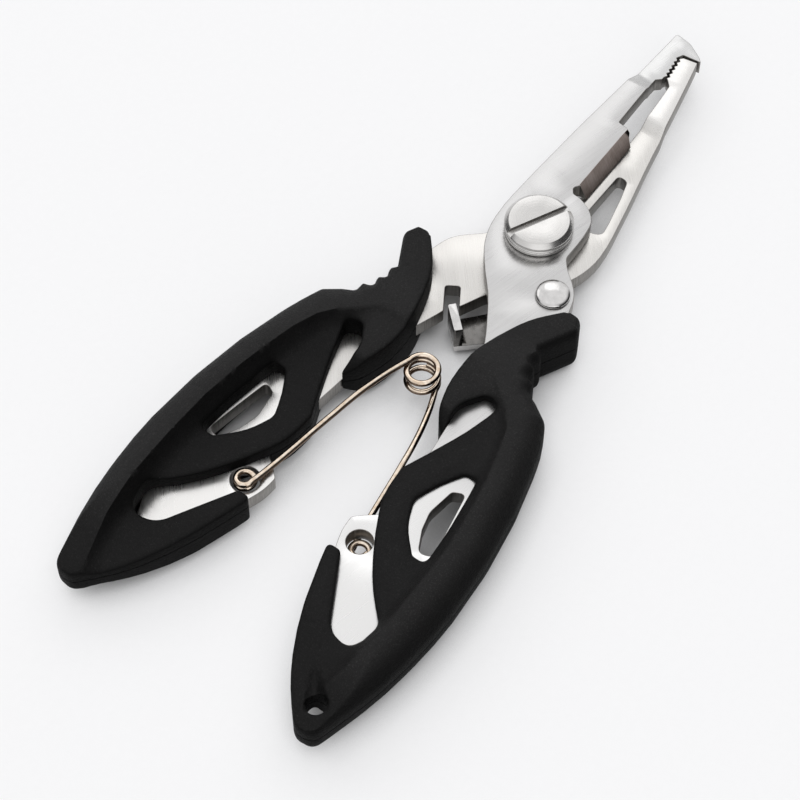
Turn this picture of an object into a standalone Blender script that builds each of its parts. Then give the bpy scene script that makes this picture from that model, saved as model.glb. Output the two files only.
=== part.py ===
"""Split-ring fishing pliers: two crossing steel levers, clamshell grips, slotted pivot, latch and spring.

Plan outlines are in millimetres with the pivot at the origin, the jaws towards +Y and the object lying
on z = 0. The two handles mirror each other in X, and each grip mirrors in the middle plane MID_Z.
"""

import math

import bmesh
import bpy
import numpy as np
from mathutils import Vector, geometry

MM = 0.001

# Heights
MID_Z = 5.0            # plane between the two levers, and the parting plane of the grips
HALF_GAP = 0.1         # half the play between the levers
PLATE = 2.5            # thickness of each lever
JOGGLE = PLATE / 2 + HALF_GAP   # how far each jaw steps towards the other, so the tips share one level
SPLIT_GAP = 0.1        # half the play between the two shells of a grip
POCKET_PLAY = 0.15     # play round the tang in its pocket

# Levers
BORE_RADIUS = 3.25
RIVET_HOLE_RADIUS = 1.3
SPRING_HOLE = (9.6, -56.3)
SPRING_HOLE_RADIUS = 1.85        # in the front lever, where the spring only turns
LOOSE_HOLE_RADIUS = 2.1          # in the rear lever, where it also shifts
FRONT_RAMP = (31.6, 33.6)
REAR_RAMP = (26.0, 28.0)
TEETH = 5
TOOTH_DEPTH = 0.35
TEETH_BOTTOM = (-0.9, 35.9)
TEETH_TOP = (-1.4, 40.2)
TEETH_PLAY = 0.4
BLADE_TOP_X = 0.3
BLADE_EDGE_X = 1.6
BLADE_START_Y = 10.3
BLADE_END_Y = 22.2
BLADE_LEAN = 0.9       # how much further up the bevel ends on the upper face

# Grips: heights are above the middle plane
BAND_HEIGHT = 5.0      # ridge of the outer band
HORN_DROP = 0.6        # how much lower the horn is
HORN_END = (16.0, 24.0)    # distance from the pivot over which that drop dies away
LOBE_REACH = 3.4       # how far in the rounding of the lower lobe goes at the grip's very end
OUTER_LIP = 0.9        # height of the outer side's flat below its rounding, along the bow
HORN_LIP = 2.3         # and along the horn
BOW_REACH = 4.2        # how far in the outer side's rounding goes, along the bow
HORN_REACH = 1.6       # and along the horn
BOW_SPAN = (21.0, 31.0)    # distance from the pivot over which the horn turns into the bow
EDGE_ROUND = 0.55      # reach of the rounding along the inner edges and the openings
EDGE_DROP = 0.35       # and its depth
PANEL_CROWN = 0.25     # how much the panel falls off towards its edges
CROWN_REACH = 3.2
LOBE_DROP = 0.65       # deepest step from the band down to the hooked lobe
LOBE_SLOPE_Y = -33.2   # where the hooked lobe starts to fall away towards its tip
LOBE_SLOPE = 0.8
END_TAPER = 0.52       # part of the height that the grip loses by its end
TAPER_START_Y = -67.0
GRIP_END_Y = -82.5
END_SPAN = 10.0        # length over which the end's rounding dies away along the lower lobe
CREASE = [             # the band's inner edge, from which a hollow wall falls to the panel
    (9.6, -24.8), (10.4, -25.8), (11.8, -27.1), (14.0, -28.9), (15.9, -31.4), (17.3, -35.0), (18.4, -39.5),
    (19.3, -44.0), (20.2, -51.0), (20.4, -58.0), (20.3, -66.0), (19.5, -73.0), (18.1, -78.5), (17.1, -82.0),
]
WALL_DROP = [          # distance from the pivot along the handle, and the wall's fall there
    (24.5, 0.0), (26.0, 0.4), (28.5, 0.68), (30.5, 1.05), (33.0, 1.3), (36.0, 1.4), (60.0, 1.4),
    (70.0, 1.4), (79.0, 1.1), (83.0, 0.8),
]
WALL_DEEPER = 1.9      # how much deeper the panel lies in the two shells that hold no tang
WALL_WIDTH = [(24.0, 1.5), (30.0, 2.2), (36.0, 3.4), (60.0, 3.4), (80.0, 2.4)]
WALL_CURVE = 2.3       # how hollow the wall is: 1 is a straight slope
LANYARD = (19.0, -78.4)
LANYARD_RADIUS = 1.5
GROOVE_START = (15.2, -73.9)
GROOVE_DEPTH = 1.3
GROOVE_FADE = 1.9      # length over which the groove ends beyond the hole's centre
GROOVE_START_HALF = 0.15         # half the groove's width where it starts
GROOVE_MARGIN = 0.1    # how much wider than the hole it is at the hole's centre
GROOVE_CURVE = 1.6     # its cross-section: 1 is a sharp valley, 2 a parabola
CREASE_PITCH = 1.6     # spacing of the mesh points along the crease
CREASE_ROWS = (0.05, -0.4, -1.0, -1.8, -3.0)     # and their distance from it
OUTER_ROWS = (0.3, 0.9, 1.8, 3.0, 4.2)           # depths of the mesh rows along the outer side
INNER_ROWS = (0.2, 0.65)                         # and along the other edges
GRID_PITCH = 2.0
EDGE_BOW = 0.04        # how much a straight stretch of the outline bows out, as a part of its length
HOOKED_LOBE = (9.4, -37.0)       # the hooked lobe lies left of this x and above this y
LOBE_ROOT = (8.8, 12.2)          # span in x over which the lobe's root runs into the panel
LOBE_ROOT_Y = -29.5

# Pivot
HEAD_RADIUS = 5.0
HEAD_BOTTOM = 8.5
HEAD_TOP = 10.1
HEAD_CHAMFER = 0.65
WASHER_RADIUS = 4.85
SHANK_RADIUS = 2.0
SLOT_WIDTH = 0.95
SLOT_DEPTH = 1.0
SLOT_ANGLE = math.radians(63.4)
BARREL_RADIUS = 3.15
BARREL_TOP = 7.5
NUT_RADIUS = 4.6
NUT_TOP = 2.25
NUT_CHAMFER = 0.5
SCREW_BOTTOM = 1.3
THREAD_BOTTOM = 1.1    # floor of the nut's bore
SCREW_PLAY = 0.15      # play round the shank in the nut
WASHER_PLAY = 0.2      # and in the washer

# Latch
RIVET = (8.05, -8.3)
RIVET_RADIUS = 1.2
RIVET_HEAD_RADIUS = 2.5
RIVET_LIP = 0.15       # straight height of the head's rim
RIVET_DOME = 0.75      # and of the dome above it
RIVET_FOOT_RADIUS = 1.9
RIVET_FOOT = (0.2, 0.45, 0.75)       # heights of the foot's face, chamfer and top
SPACER = (1.4, 2.1)    # inner and outer radius
SPACER_HEIGHTS = (2.25, 4.95)
LATCH_REACH = 14.0     # rivet to tab
LATCH_LOCKED = math.radians(213.8)
LATCH_FREED = math.radians(13.0)     # swing from locked to the stored place, clear of the notch
SHEET = 1.2
ARM_BOTTOM = 0.9
TAB_TOP = 6.1
TAB_WIDTH = 4.6
NOTCH_WIDTH = 2.2
NOTCH_DEPTH = 4.4
NOTCH_CORNER = (-4.0, -17.9)
NOTCH_LEAN = math.radians(121.7)     # the slot's direction, from its mouth inwards

# Spring
WIRE_RADIUS = 0.45
COIL_CENTRE = (0.0, -28.6)
COIL_RADIUS = 2.2
COIL_PITCH = 1.0
COIL_TURNS = 1.3
LOOP_RADIUS = 1.2
LOOP_TURNS = 1.5
LEG_BOW = 1.0          # how far each leg bows outwards, a third of the way along it

SMOOTH = 99.0          # a corner radius that takes all the room there is


# Outlines -----------------------------------------------------------------------------------------

def fillet(corners, step=20.0):
    """The closed outline through (x, y, radius) corners, and for each point the corner it came from."""
    points = []
    owners = []
    count = len(corners)
    for i, (x, y, radius) in enumerate(corners):
        here = Vector((x, y))
        back = Vector(corners[i - 1][:2]) - here
        ahead = Vector(corners[(i + 1) % count][:2]) - here
        turn = math.pi - back.angle(ahead)
        room = 0.499 * min(back.length, ahead.length)
        if radius <= 0 or turn < 1e-3:
            points.append(here)
            owners.append(i)
            continue
        reach = min(radius * math.tan(turn / 2), room)
        start = here + back.normalized() * reach
        end = here + ahead.normalized() * reach
        pieces = max(1, math.ceil(math.degrees(turn) / step))
        # A quadratic curve follows the arc closely for the turns used here.
        for k in range(pieces + 1):
            t = k / pieces
            points.append(start.lerp(here, t).lerp(here.lerp(end, t), t))
            owners.append(i)
    return points, owners


def circle(centre, radius, sides=32):
    """A closed ring of points."""
    angles = [2 * math.pi * k / sides for k in range(sides)]
    return [Vector((centre[0] + radius * math.cos(a), centre[1] + radius * math.sin(a))) for a in angles]


def mirrored(points):
    """The outline on the other side of the Y axis."""
    return [Vector((-p.x, p.y)) for p in points]


def grown(points, play):
    """The outline moved outwards by play."""
    area = sum(a.x * b.y - b.x * a.y for a, b in zip(points, points[1:] + points[:1]))
    side = 1.0 if area > 0 else -1.0
    result = []
    for i, here in enumerate(points):
        along = (points[(i + 1) % len(points)] - points[i - 1]).normalized()
        result.append(here + Vector((along.y, -along.x)) * side * play)
    return result


def inside(x, y, loops):
    """Whether a point lies in the first loop and outside the others, by the even-odd rule."""
    odd = False
    for loop in loops:
        for a, b in zip(loop, loop[1:] + loop[:1]):
            if (a.y > y) != (b.y > y) and x < a.x + (b.x - a.x) * (y - a.y) / (b.y - a.y):
                odd = not odd
    return odd


def distance(points, chain):
    """For each row of points, how far it is from a list of (a, b) segments."""
    nearest = np.full(len(points), np.inf)
    for a, b in chain:
        a = np.array(a)
        edge = np.array(b) - a
        t = np.clip((points - a) @ edge / max(edge @ edge, 1e-12), 0, 1)
        nearest = np.minimum(nearest, np.linalg.norm(points - a - t[:, None] * edge, axis=1))
    return nearest


# Solids -------------------------------------------------------------------------------------------

def layer_mesh(name, loops, low, high, extra=(), cuts=(), shift_top=None):
    """A solid over the region of the loops, between the heights low(x, y) and high(x, y).

    extra are points inside the region, cuts are segments that the faces must follow, and shift_top
    moves a point of the upper face in plan.
    """
    points = []
    edges = []
    for loop in loops:
        first = len(points)
        points += [Vector(p) for p in loop]
        edges += [(first + k, first + (k + 1) % len(loop)) for k in range(len(loop))]
    for a, b in cuts:
        edges.append((len(points), len(points) + 1))
        points += [Vector(a), Vector(b)]
    points += [Vector(p) for p in extra]
    spots, _, triangles, _, _, _ = geometry.delaunay_2d_cdt(points, edges, [], 0, 1e-6)
    kept = []
    for triangle in triangles:
        middle = sum((spots[k] for k in triangle), Vector((0, 0))) / 3
        if inside(middle.x, middle.y, loops):
            kept.append(tuple(triangle))
    used = sorted({k for triangle in kept for k in triangle})
    place = {k: n for n, k in enumerate(used)}
    upper = []
    lower = []
    for k in used:
        x, y = spots[k]
        top_x, top_y = shift_top(x, y) if shift_top else (x, y)
        upper.append((top_x * MM, top_y * MM, high(x, y) * MM))
        lower.append((x * MM, y * MM, low(x, y) * MM))
    count = len(used)
    faces = []
    rim = {}
    for a, b, c in kept:
        a, b, c = place[a], place[b], place[c]
        pa, pb, pc = (Vector(lower[k][:2]) for k in (a, b, c))
        if (pb - pa).cross(pc - pa) < 0:
            b, c = c, b
        faces.append((a, b, c))
        faces.append((c + count, b + count, a + count))
        for edge in ((a, b), (b, c), (c, a)):
            rim[edge] = True
    for a, b in rim:
        if (b, a) not in rim:
            faces.append((b, a, a + count, b + count))
    mesh = bpy.data.meshes.new(name)
    mesh.from_pydata(upper + lower, [], faces)
    mesh.validate()
    mesh.update()
    return mesh


def turned_mesh(name, profile, sides=48):
    """A solid of revolution about Z: profile is (radius, z) from the bottom centre to the top centre."""
    rows = [(r, z) for r, z in profile]
    vertices = []
    rings = []
    for r, z in rows:
        if r == 0:
            rings.append([len(vertices)])
            vertices.append((0, 0, z * MM))
            continue
        rings.append(list(range(len(vertices), len(vertices) + sides)))
        for k in range(sides):
            a = 2 * math.pi * k / sides
            vertices.append((r * math.cos(a) * MM, r * math.sin(a) * MM, z * MM))
    pairs = list(zip(rings, rings[1:]))
    if rows[0][0] > 0:
        pairs.append((rings[-1], rings[0]))
    faces = []
    for low, high in pairs:
        for k in range(sides):
            n = (k + 1) % sides
            if len(low) == 1:
                faces.append((low[0], high[n], high[k]))
            elif len(high) == 1:
                faces.append((low[k], low[n], high[0]))
            else:
                faces.append((low[k], low[n], high[n], high[k]))
    mesh = bpy.data.meshes.new(name)
    mesh.from_pydata(vertices, [], faces)
    mesh.update()
    return mesh


def wire_mesh(name, path, radius, sides=8):
    """A round wire with flat ends along a list of points."""
    path = [Vector(p) for p in path]
    vertices = []
    normal = None
    for i, here in enumerate(path):
        along = (path[min(i + 1, len(path) - 1)] - path[max(i - 1, 0)]).normalized()
        if normal is None:
            normal = along.cross(Vector((0, 0, 1))).normalized()
        normal = (normal - along * normal.dot(along)).normalized()
        across = along.cross(normal)
        for k in range(sides):
            a = 2 * math.pi * k / sides
            vertices.append((here + (normal * math.cos(a) + across * math.sin(a)) * radius) * MM)
    faces = [tuple(reversed(range(sides))), tuple(range(len(vertices) - sides, len(vertices)))]
    for i in range(len(path) - 1):
        for k in range(sides):
            n = (k + 1) % sides
            a = i * sides
            faces.append((a + k, a + n, a + sides + n, a + sides + k))
    mesh = bpy.data.meshes.new(name)
    mesh.from_pydata(vertices, [], faces)
    mesh.update()
    return mesh


def material(name, colour, roughness, metallic):
    made = bpy.data.materials.new(name)
    made.use_nodes = True
    shader = made.node_tree.nodes["Principled BSDF"]
    shader.inputs["Base Color"].default_value = (*colour, 1)
    shader.inputs["Roughness"].default_value = roughness
    shader.inputs["Metallic"].default_value = metallic
    return made


def place(name, mesh, finish, origin=(0, 0, 0)):
    """An object at origin, in millimetres, from a mesh that is in the object's own frame."""
    obj = bpy.data.objects.new(name, mesh)
    obj.location = Vector(origin) * MM
    bpy.context.scene.collection.objects.link(obj)
    mesh.materials.append(finish)
    mesh.shade_smooth()
    mesh.set_sharp_from_angle(angle=math.radians(32))
    return obj


def moved(mesh, offset):
    """The mesh shifted by an offset in millimetres."""
    for vertex in mesh.vertices:
        vertex.co += Vector(offset) * MM
    return mesh


def flipped(mesh, axis):
    """The mesh mirrored in an axis of its own frame, with its faces turned out again."""
    work = bmesh.new()
    work.from_mesh(mesh)
    for vertex in work.verts:
        vertex.co[axis] = -vertex.co[axis]
    bmesh.ops.reverse_faces(work, faces=work.faces)
    work.to_mesh(mesh)
    work.free()
    return mesh


def cut_away(obj, tool_mesh):
    """Takes the tool's shape out of an object."""
    tool = bpy.data.objects.new(obj.name + "_cutter", tool_mesh)
    tool.hide_render = True
    tool.display_type = "WIRE"
    bpy.context.scene.collection.objects.link(tool)
    cut = obj.modifiers.new("cut", "BOOLEAN")
    cut.operation = "DIFFERENCE"
    cut.solver = "EXACT"
    cut.object = tool
    return tool


# Levers -------------------------------------------------------------------------------------------

def tang_corners():
    """The handle end of a lever, from the neck's inner side round its end to the neck's outer side."""
    return [
        (3.2, -17.6, SMOOTH), (4.8, -20.4, SMOOTH), (6.3, -24.0, SMOOTH), (7.4, -28.0, SMOOTH),
        (8.2, -32.0, SMOOTH), (8.6, -36.0, SMOOTH), (9.2, -40.0, SMOOTH), (9.7, -46.0, SMOOTH),
        (9.4, -51.3, 0.6), (7.6, -52.7, 2.0), (6.4, -53.8, 0.7), (6.5, -56.0, SMOOTH),
        (7.6, -59.4, SMOOTH), (10.0, -64.0, SMOOTH), (13.6, -69.0, 2.0), (17.6, -70.0, 2.0),
        (20.4, -64.0, SMOOTH), (21.2, -56.0, SMOOTH), (20.6, -46.0, SMOOTH), (18.4, -35.0, SMOOTH),
        (15.6, -29.0, SMOOTH), (12.4, -24.0, SMOOTH), (10.9, -19.0, SMOOTH), (11.0, -14.0, SMOOTH),
        (11.8, -10.4, 1.0),
    ]


def eye_hole():
    """The small window in a tang, inside the grip's larger one."""
    corners = [
        (14.5, -47.2, 3.0), (15.1, -43.0, 0.8), (16.8, -42.2, 0.9), (17.9, -48.0, SMOOTH),
        (18.7, -52.6, 0.9), (16.8, -53.2, 1.2), (15.2, -50.0, 3.0),
    ]
    return fillet(corners)[0]


def teeth(side):
    """The zigzag of a jaw from its root to its tip: side is -1 on the front lever, 1 on the rear one."""
    low = Vector(TEETH_BOTTOM)
    high = Vector(TEETH_TOP)
    across = Vector((0.99, 0.12)).normalized()
    points = []
    for k in range(2 * TEETH + 1):
        depth = TOOTH_DEPTH if k % 2 else 0.0
        spot = low.lerp(high, k / (2 * TEETH)) + across * (depth - TOOTH_DEPTH / 2 + side * TEETH_PLAY / 2)
        points.append((spot.x, spot.y, 0.0))
    return points


def front_corners():
    """The front lever: hooked beak, cutter blade, pivot boss, neck and right tang."""
    jaw = [
        (-5.0, -6.6, SMOOTH), (-6.2, -3.4, SMOOTH), (-6.7, 1.0, SMOOTH), (-6.4, 9.0, SMOOTH),
        (-5.8, 20.0, SMOOTH), (-4.95, 31.0, SMOOTH), (-4.45, 40.5, SMOOTH), (-4.3, 44.3, 0.5),
        (-1.6, 43.8, 3.0), (0.9, 42.3, 3.0), (1.75, 41.5, 0.15), (-1.25, 41.2, 0.2),
    ]
    slot = [
        (-1.3, 35.3, 0.2), (-2.05, 34.6, 0.2), (-2.0, 33.6, 0.3), (-1.65, 32.0, 0.5),
        (-1.65, 30.0, SMOOTH), (-1.5, 23.5, 0.25), (0.1, 23.3, 0.0),
        (BLADE_EDGE_X, BLADE_END_Y, 0.0), (BLADE_EDGE_X, BLADE_START_Y, 0.0),
    ]
    relief = [(0.35, 10.2, 0.3), (-0.25, 9.35, 0.9), (0.45, 8.4, 0.6), (1.5, 8.35, 0.4)]
    boss = [
        (3.6, 7.6, SMOOTH), (5.5, 5.8, SMOOTH), (6.0, 2.6, SMOOTH), (6.0, -1.8, 1.4),
        (7.2, -3.4, SMOOTH), (9.0, -4.8, SMOOTH), (10.8, -6.8, SMOOTH),
    ]
    neck = [(0.4, -13.2, SMOOTH), (-2.2, -10.4, SMOOTH)]
    return jaw + teeth(-1)[::-1] + slot + relief + boss + tang_corners()[::-1] + neck


def rear_corners():
    """The rear lever: straight jaw, pivot boss, notched neck and left tang."""
    jaw = [
        (1.35, 41.1, 0.2), (1.95, 38.5, SMOOTH), (3.9, 29.0, SMOOTH), (5.3, 21.5, SMOOTH),
        (7.1, 13.5, SMOOTH), (8.8, 5.0, SMOOTH), (9.0, 1.0, SMOOTH), (7.9, -3.1, SMOOTH),
        (5.0, -7.2, SMOOTH), (1.0, -10.6, 2.0), (-0.6, -11.9, SMOOTH),
    ]
    lean = Vector((math.cos(NOTCH_LEAN), math.sin(NOTCH_LEAN)))
    across = Vector((lean.y, -lean.x))
    corner = Vector(NOTCH_CORNER)
    mouth = corner + across * NOTCH_WIDTH + lean * 0.8
    far = corner + lean * NOTCH_DEPTH
    deep = far + across * NOTCH_WIDTH
    notch = [(*mouth, 0.2), (*deep, 0.5), (*far, 0.5), (*corner, 0.2)]
    tang = [(-x, y, r) for x, y, r in tang_corners()[1:]]
    boss = [
        (-10.8, -6.8, SMOOTH), (-9.0, -4.8, SMOOTH), (-7.2, -3.4, SMOOTH), (-6.0, -1.8, 1.4),
        (-6.0, 2.6, SMOOTH), (-5.5, 5.8, SMOOTH), (-3.6, 7.6, SMOOTH), (-0.6, 8.6, 1.5),
        (0.9, 10.5, 2.0), (0.9, 26.0, SMOOTH), (0.65, 31.0, SMOOTH), (0.3, 34.7, 0.3), (-0.5, 35.6, 0.2),
    ]
    tip = [(-0.9, 40.75, 0.1)]
    return jaw + notch + tang + boss + teeth(1) + tip


def jaw_window():
    """The lightening window in the rear jaw."""
    corners = [
        (2.9, 9.0, SMOOTH), (3.0, 16.9, 0.8), (4.6, 16.7, 0.9), (6.1, 11.2, SMOOTH),
        (6.9, 6.4, 1.1), (5.0, 5.6, 1.5), (3.1, 7.4, 1.0),
    ]
    return fillet(corners)[0]


def ramp(y, span):
    """0 before the jaw's step, 1 after it."""
    return min(max((y - span[0]) / (span[1] - span[0]), 0.0), 1.0)


def front_lever(finish):
    bottom = MID_Z + HALF_GAP
    loops = [
        fillet(front_corners())[0], circle((0, 0), BORE_RADIUS), circle(RIVET, RIVET_HOLE_RADIUS, 20),
        eye_hole(), circle(SPRING_HOLE, SPRING_HOLE_RADIUS, 24),
    ]
    cuts = [((-9, y), (9, y)) for y in FRONT_RAMP]

    def low(x, y):
        return bottom - JOGGLE * ramp(y, FRONT_RAMP)

    def bevelled(x, y):
        on_blade = x > BLADE_EDGE_X - 0.01 and BLADE_START_Y - 0.01 < y < BLADE_END_Y + 0.01
        return (BLADE_TOP_X if on_blade else x, y + (BLADE_LEAN if on_blade and y > BLADE_END_Y - 1 else 0))

    mesh = layer_mesh("front_lever", loops, low, lambda x, y: low(x, y) + PLATE,
                      cuts=cuts, shift_top=bevelled)
    return place("front_lever", mesh, finish)


def rear_lever(finish):
    bottom = MID_Z - HALF_GAP - PLATE
    left_hole = (-SPRING_HOLE[0], SPRING_HOLE[1])
    loops = [
        fillet(rear_corners())[0], circle((0, 0), BORE_RADIUS), jaw_window(),
        mirrored(eye_hole()), circle(left_hole, LOOSE_HOLE_RADIUS, 24),
    ]
    cuts = [((-9, y), (9, y)) for y in REAR_RAMP]

    def low(x, y):
        return bottom + JOGGLE * ramp(y, REAR_RAMP)

    mesh = layer_mesh("rear_lever", loops, low, lambda x, y: low(x, y) + PLATE, cuts=cuts)
    return place("rear_lever", mesh, finish)


# Grips --------------------------------------------------------------------------------------------

def grip_outer_corners():
    """The side away from the other handle: horn end, thumb ridges, shoulder and long bow to the end."""
    return [
        (12.0, -9.9, 0.9), (13.9, -10.1, 1.0), (15.0, -12.3, 1.2), (13.4, -15.4, SMOOTH),
        (12.2, -17.7, 0.5), (13.0, -18.6, 0.7), (12.4, -20.1, 0.5), (13.5, -20.8, 0.7),
        (13.1, -22.3, 0.5), (14.6, -22.7, 0.7), (14.8, -24.2, 0.5), (16.4, -24.9, 2.0),
        (19.0, -26.5, 2.0), (20.6, -29.6, SMOOTH), (22.6, -36.3, SMOOTH), (24.2, -44.0, SMOOTH),
        (25.2, -53.0, SMOOTH), (25.3, -61.0, SMOOTH), (24.3, -70.5, SMOOTH), (22.6, -77.6, SMOOTH),
        (21.2, -82.2, 2.0),
    ]


def grip_inner_corners():
    """The side towards the other handle, from the end: lobe, slot, strut, crescent, hooked lobe, horn."""
    return [
        (18.4, -82.4, 2.0), (14.0, -77.5, SMOOTH), (10.6, -71.5, SMOOTH), (8.0, -64.6, SMOOTH),
        (6.4, -59.0, 1.0), (8.5, -59.0, 0.9), (12.0, -65.2, SMOOTH), (14.4, -69.5, SMOOTH),
        (18.5, -69.9, SMOOTH), (19.3, -65.2, 2.4), (14.6, -60.6, SMOOTH), (10.5, -54.2, SMOOTH),
        (7.9, -48.8, SMOOTH), (7.6, -44.0, 2.0), (9.9, -38.4, SMOOTH), (12.0, -32.6, SMOOTH),
        (12.9, -29.0, 1.1), (10.6, -28.0, 1.6), (8.5, -31.2, SMOOTH), (8.25, -33.4, SMOOTH),
        (8.7, -36.3, 0.4), (6.6, -34.4, SMOOTH), (5.0, -29.6, SMOOTH), (4.9, -25.0, SMOOTH),
        (6.1, -19.6, SMOOTH), (8.0, -14.6, SMOOTH),
    ]


def grip_eye():
    """The eye-shaped window through a grip."""
    corners = [
        (11.8, -47.0, 2.2), (13.2, -43.2, SMOOTH), (15.2, -39.9, 1.0), (17.0, -39.9, 0.9),
        (17.9, -45.0, SMOOTH), (18.6, -51.0, SMOOTH), (18.7, -54.3, 1.0), (16.6, -54.2, 1.0),
        (13.4, -50.9, SMOOTH),
    ]
    return fillet(corners)[0]


def step_up(t):
    """0 to 1 with soft ends."""
    t = np.clip(t, 0, 1)
    return t * t * (3 - 2 * t)


def between(pairs, along):
    """The second values of the pairs, interpolated by the first."""
    return np.interp(along, [p[0] for p in pairs], [p[1] for p in pairs])


def shoulder(gap, reach, lip):
    """An elliptical shoulder that rises from the lip height at the border to the band height."""
    share = np.clip(gap / reach, 0, 1)
    return lip + (BAND_HEIGHT - lip) * np.sqrt(1 - (1 - share) ** 2)


def groove(x, y):
    """Depth of the tapering gouge that leads to the lanyard hole."""
    axis = np.array(LANYARD) - np.array(GROOVE_START)
    length = np.hypot(*axis)
    axis = axis / length
    along = (x - GROOVE_START[0]) * axis[0] + (y - GROOVE_START[1]) * axis[1]
    aside = np.abs((x - GROOVE_START[0]) * axis[1] - (y - GROOVE_START[1]) * axis[0])
    share = np.clip(along / length, 0, 1)
    half = GROOVE_START_HALF + (LANYARD_RADIUS + GROOVE_MARGIN) * share
    fade = np.clip(1 - (along - length) / GROOVE_FADE, 0, 1)
    return GROOVE_DEPTH * share * np.clip(1 - (aside / half) ** GROOVE_CURVE, 0, 1) * fade


def grip_height(points, outer, inner, lobe, lanyard, deeper):
    """Height of a grip's face above the middle plane at each plan point.

    outer, inner and lobe are the edges of the bow and horn, of everything else, and of the lower lobe.
    deeper scales the panel's depth below the band.
    """
    x = points[:, 0]
    y = points[:, 1]
    down = -y
    past = x - between([(-b, a) for a, b in CREASE], down)
    away = np.where(past < 0, distance(points, list(zip(CREASE, CREASE[1:]))), 0)
    hooked = (x < HOOKED_LOBE[0]) & (y > HOOKED_LOBE[1])
    root = 1 - step_up((x - LOBE_ROOT[0]) / (LOBE_ROOT[1] - LOBE_ROOT[0]))
    share = np.where(y > LOBE_ROOT_Y, root, hooked)
    fall = between(WALL_DROP, down) * deeper
    fall = fall + (np.minimum(fall, LOBE_DROP) - fall) * share
    share = np.clip(away / between(WALL_WIDTH, down), 0, 1)
    height = BAND_HEIGHT - fall * (1 - (1 - share) ** WALL_CURVE)
    height = height - HORN_DROP * (1 - step_up((down - HORN_END[0]) / (HORN_END[1] - HORN_END[0])))
    slope = LOBE_SLOPE * np.clip(LOBE_SLOPE_Y - y, 0, None)
    height = np.where(hooked, height - slope, height)
    taper = END_TAPER * step_up((TAPER_START_Y - y) / (TAPER_START_Y - GRIP_END_Y))
    height = height * (1 - taper)
    gap = distance(points, inner)
    height = height - PANEL_CROWN * (1 - np.clip(gap / CROWN_REACH, 0, 1)) ** 2
    height = height - EDGE_DROP * (1 - np.sqrt(1 - (1 - np.clip(gap / EDGE_ROUND, 0, 1)) ** 2))
    bow = step_up((down - BOW_SPAN[0]) / (BOW_SPAN[1] - BOW_SPAN[0]))
    lip = HORN_LIP + (OUTER_LIP - HORN_LIP) * bow
    reach = HORN_REACH + (BOW_REACH - HORN_REACH) * bow
    height = np.minimum(height, shoulder(distance(points, outer), reach, lip))
    end = step_up((y - GRIP_END_Y) / END_SPAN)
    lip = OUTER_LIP + (BAND_HEIGHT - OUTER_LIP) * end
    height = np.minimum(height, shoulder(distance(points, lobe), LOBE_REACH * (1 - end) + 0.01, lip))
    return height - groove(x, y) if lanyard else height


def thinned(points, spacing):
    """The points, without those closer than spacing to an earlier one."""
    kept = np.empty((len(points), 2))
    count = 0
    for x, y in points:
        if count == 0 or np.hypot(*(kept[:count] - (x, y)).T).min() > spacing:
            kept[count] = (x, y)
            count += 1
    return [Vector(p) for p in kept[:count]]


def crease_points(shift):
    """Points along the crease, moved sideways by shift."""
    points = []
    for a, b in zip(CREASE, CREASE[1:]):
        pieces = math.ceil(math.dist(a, b) / CREASE_PITCH)
        points += [Vector(a).lerp(Vector(b), k / pieces) + Vector((shift, 0)) for k in range(pieces)]
    return points


def groove_points():
    """Points along the bottom and both rims of the lanyard groove."""
    start = Vector(GROOVE_START)
    axis = (Vector(LANYARD) - start).normalized()
    side = Vector((-axis.y, axis.x))
    points = [start]
    length = (Vector(LANYARD) - start).length
    for share in (0.25, 0.5, 0.75, 0.95):
        along = share * length
        half = GROOVE_START_HALF + (LANYARD_RADIUS + GROOVE_MARGIN) * share
        points += [start + axis * along + side * half * part for part in (-1, -0.5, 0, 0.5, 1)]
    return points


def inner_points(loops, outer_count, lanyard):
    """Points inside the loops that follow the crease and the outline, and a grid in what is left.

    The first outer_count points of the outline have the wide rounding.
    """
    chain = [(a, b) for loop in loops for a, b in zip(loop, loop[1:] + loop[:1])]
    wanted = [(p, 0.15) for p in groove_points()] if lanyard else []
    for shift in CREASE_ROWS:
        wanted += [(p, 0.6) for p in crease_points(shift)]
    for depth in OUTER_ROWS:
        wanted += [(p, 0.9 * depth) for p in grown(loops[0], -depth)[:outer_count]]
    for depth in INNER_ROWS:
        rings = [grown(loops[0], -depth)[outer_count:]] + [grown(loop, depth) for loop in loops[1:]]
        wanted += [(p, 0.9 * depth) for ring in rings for p in ring]
    xs = np.arange(0.5 * GRID_PITCH, 30, GRID_PITCH)
    ys = np.arange(-90, 0, GRID_PITCH)
    wanted += [(Vector((x, y)), INNER_ROWS[-1] + 0.3 * GRID_PITCH) for x in xs for y in ys]
    clear = distance(np.array([p for p, _ in wanted]), chain)
    found = [p for (p, room), gap in zip(wanted, clear) if gap > room and inside(p.x, p.y, loops)]
    return thinned(found, 0.22 * GRID_PITCH)


def resampled(points, owners, most):
    """The closed clockwise outline with no edge longer than most; what was one edge bows out a little."""
    new_points = []
    new_owners = []
    for i, here in enumerate(points):
        ahead = points[(i + 1) % len(points)]
        step = ahead - here
        pieces = max(1, math.ceil(step.length / most))
        outwards = Vector((-step.y, step.x)) * EDGE_BOW
        for k in range(pieces):
            share = k / pieces
            new_points.append(here + step * share + outwards * share * (1 - share))
            new_owners.append(owners[i])
    return new_points, new_owners


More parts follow.
